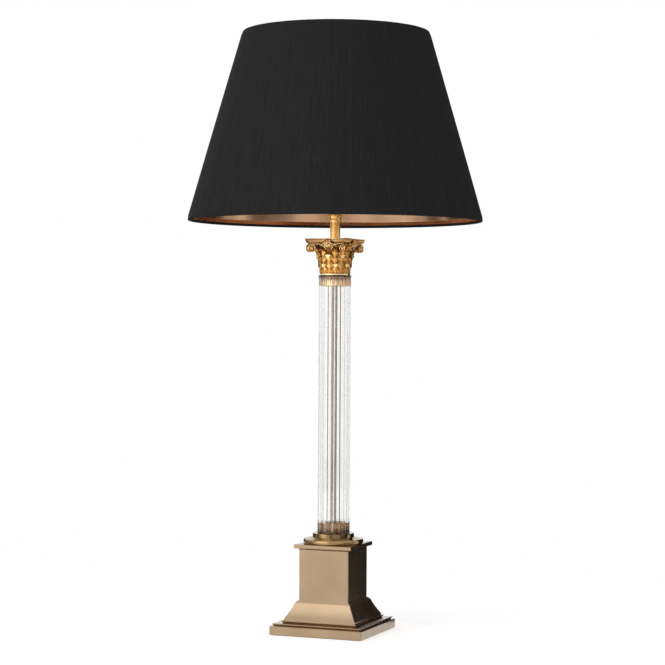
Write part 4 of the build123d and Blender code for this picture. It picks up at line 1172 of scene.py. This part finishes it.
def floor_disc():
    """A pale floor that keeps the lamp's shadow and fades out to the white background.

    What sees the background also sees the floor lifted towards white.
    """
    made, tree, shader = blank("pale_floor", Roughness=0.9)
    shader.inputs["Base Color"].default_value = linear("#f4f4f4")
    shader.inputs["Emission Color"].default_value = (1, 1, 1, 1)
    lift = node(tree, "Math", {0: background_rays(tree), 1: FLOOR_LIFT}, operation="MULTIPLY")
    tree.links.new(lift.outputs[0], shader.inputs["Emission Strength"])
    place = node(tree, "TexCoord", {}).outputs["Object"]
    reach = node(tree, "VectorMath", {0: place}, operation="LENGTH").outputs["Value"]
    fade = {"Value": reach, "From Min": FLOOR_CLEAR, "From Max": FLOOR_RADIUS}
    fade = node(tree, "MapRange", fade, interpolation_type="SMOOTHSTEP").outputs[0]
    clear = node(tree, "BsdfTransparent", {}).outputs[0]
    mixed = node(tree, "MixShader", {0: fade, 1: shader.outputs[0], 2: clear})
    tree.links.new(mixed.outputs[0], tree.nodes["Material Output"].inputs["Surface"])
    angles = np.arange(FLOOR_CORNERS) * 360 / FLOOR_CORNERS
    rim = np.array([toward(angle, FLOOR_RADIUS, 0) for angle in angles])
    mesh = bpy.data.meshes.new("floor")
    mesh.from_pydata(rim, [], [list(range(len(rim)))])
    mesh.materials.append(made)
    made_floor = linked("floor", mesh)


def background():
    """White where the camera, a reflection or the glass sees it, and softer where it lights."""
    world = bpy.data.worlds.new("studio")
    bpy.context.scene.world = world
    world.use_nodes = True
    tree = world.node_tree
    inputs = {"Value": background_rays(tree), "To Min": WORLD_LIGHT, "To Max": 1.0}
    strength = node(tree, "MapRange", inputs).outputs[0]
    tree.links.new(strength, tree.nodes["Background"].inputs["Strength"])
    tree.nodes["Background"].inputs["Color"].default_value = (1, 1, 1, 1)


def soft_light(name, azimuth, distance, height, size, power, aim_height):
    """A studio light of this width and height, turned to the lamp and kept out of the picture."""
    data = bpy.data.lights.new(name, "AREA")
    data.shape = "RECTANGLE"
    data.size, data.size_y = size
    data.energy = power
    light = linked(name, data)
    light.location = toward(azimuth, distance, height)
    aim = Vector((0, 0, aim_height)) - light.location
    light.rotation_euler = aim.to_track_quat("-Z", "Y").to_euler()
    light.visible_camera = False


CARD_COLUMNS = 24


def card(name, shade, first, last, corners):
    """A plain card round part of the set, seen only in reflections, where it gives them edges.

    It goes from one azimuth to another, and its corners are distances and heights.
    """
    made, tree, shader = blank(name, Roughness=1.0)
    shader.inputs["Base Color"].default_value = linear(shade)
    angles = np.linspace(first, last, CARD_COLUMNS)
    rows = np.array([[toward(angle, *corner) for angle in angles] for corner in corners])
    index = np.arange(len(corners) * len(angles)).reshape(len(corners), -1)
    mesh = bpy.data.meshes.new(name)
    mesh.from_pydata(rows.reshape(-1, 3), [], cells(index).tolist())
    mesh.materials.append(made)
    made_card = linked(name, mesh)
    for rays in ("camera", "diffuse", "transmission", "shadow"):
        setattr(made_card, "visible_" + rays, False)


floor_disc()
background()
soft_light(
    "key_light",
    azimuth=-46,
    distance=2.6,
    height=1.25,
    size=(2.5, 2.5),
    power=27,
    aim_height=LAMP_MIDDLE,
)
soft_light(
    "low_light",
    azimuth=-58,
    distance=1.42,
    height=0.05,
    size=(0.95, 0.09),
    power=0.78,
    aim_height=0.05,
)

# The corners of each card's section, as distance from the lamp and height: a low card lies just
# over the floor, where the lining or the polished discs see it, and a wall stands round it all
CARD_LOW = 0.002
CARD_FAR = 1.75
WALL_HEIGHT = 0.45
BACKDROP_HEIGHT = 3.4
wall_card = [(CARD_FAR, CARD_LOW), (CARD_FAR, WALL_HEIGHT)]
low_card = [(1.0, CARD_LOW), (CARD_FAR, CARD_LOW)]
for_discs = [(1.22, CARD_LOW), (CARD_FAR, CARD_LOW)]
for_left_lining = [(0.98, CARD_LOW), (1.22, CARD_LOW)]
for_right_lining = [(0.98, CARD_LOW), (1.34, CARD_LOW)]
for_die = [(0.15, CARD_LOW), (0.5, CARD_LOW), (0.5, 0.14)]
backdrop = [(CARD_FAR, WALL_HEIGHT), (CARD_FAR, BACKDROP_HEIGHT)]
# Each card's name, its tone and the azimuths from which and to which it reaches
for card_name, tone, first, last, corners in (
    ("left_far", "#5f554a", -168, -112, low_card + wall_card[1:]),
    ("left_near", "#80776c", -107, -88, low_card + wall_card[1:]),
    ("left_middle", "#5f554a", -88, -33, for_right_lining),
    ("front", "#0c0a08", -24, -2, for_discs),
    ("middle", "#b8b0a4", -2, 38, for_discs),
    ("half_right", "#8a8378", 38, 62, for_discs + wall_card[1:]),
    ("half_right_lining", "#4a443c", 40, 62, for_left_lining),
    ("right_near", "#3d3832", 62, 86, low_card + wall_card[1:]),
    ("right_far", "#5c564e", 99, 165, low_card),
    ("right_wall", "#2f2b26", 112, 165, wall_card),
    ("back_wall", "#2a2724", 112, 162, backdrop),
    ("die", "#1f1c19", 112, 162, for_die),
):
    card(card_name + "_card", tone, first, last, corners)

bpy.context.scene.view_settings.view_transform = "Standard"
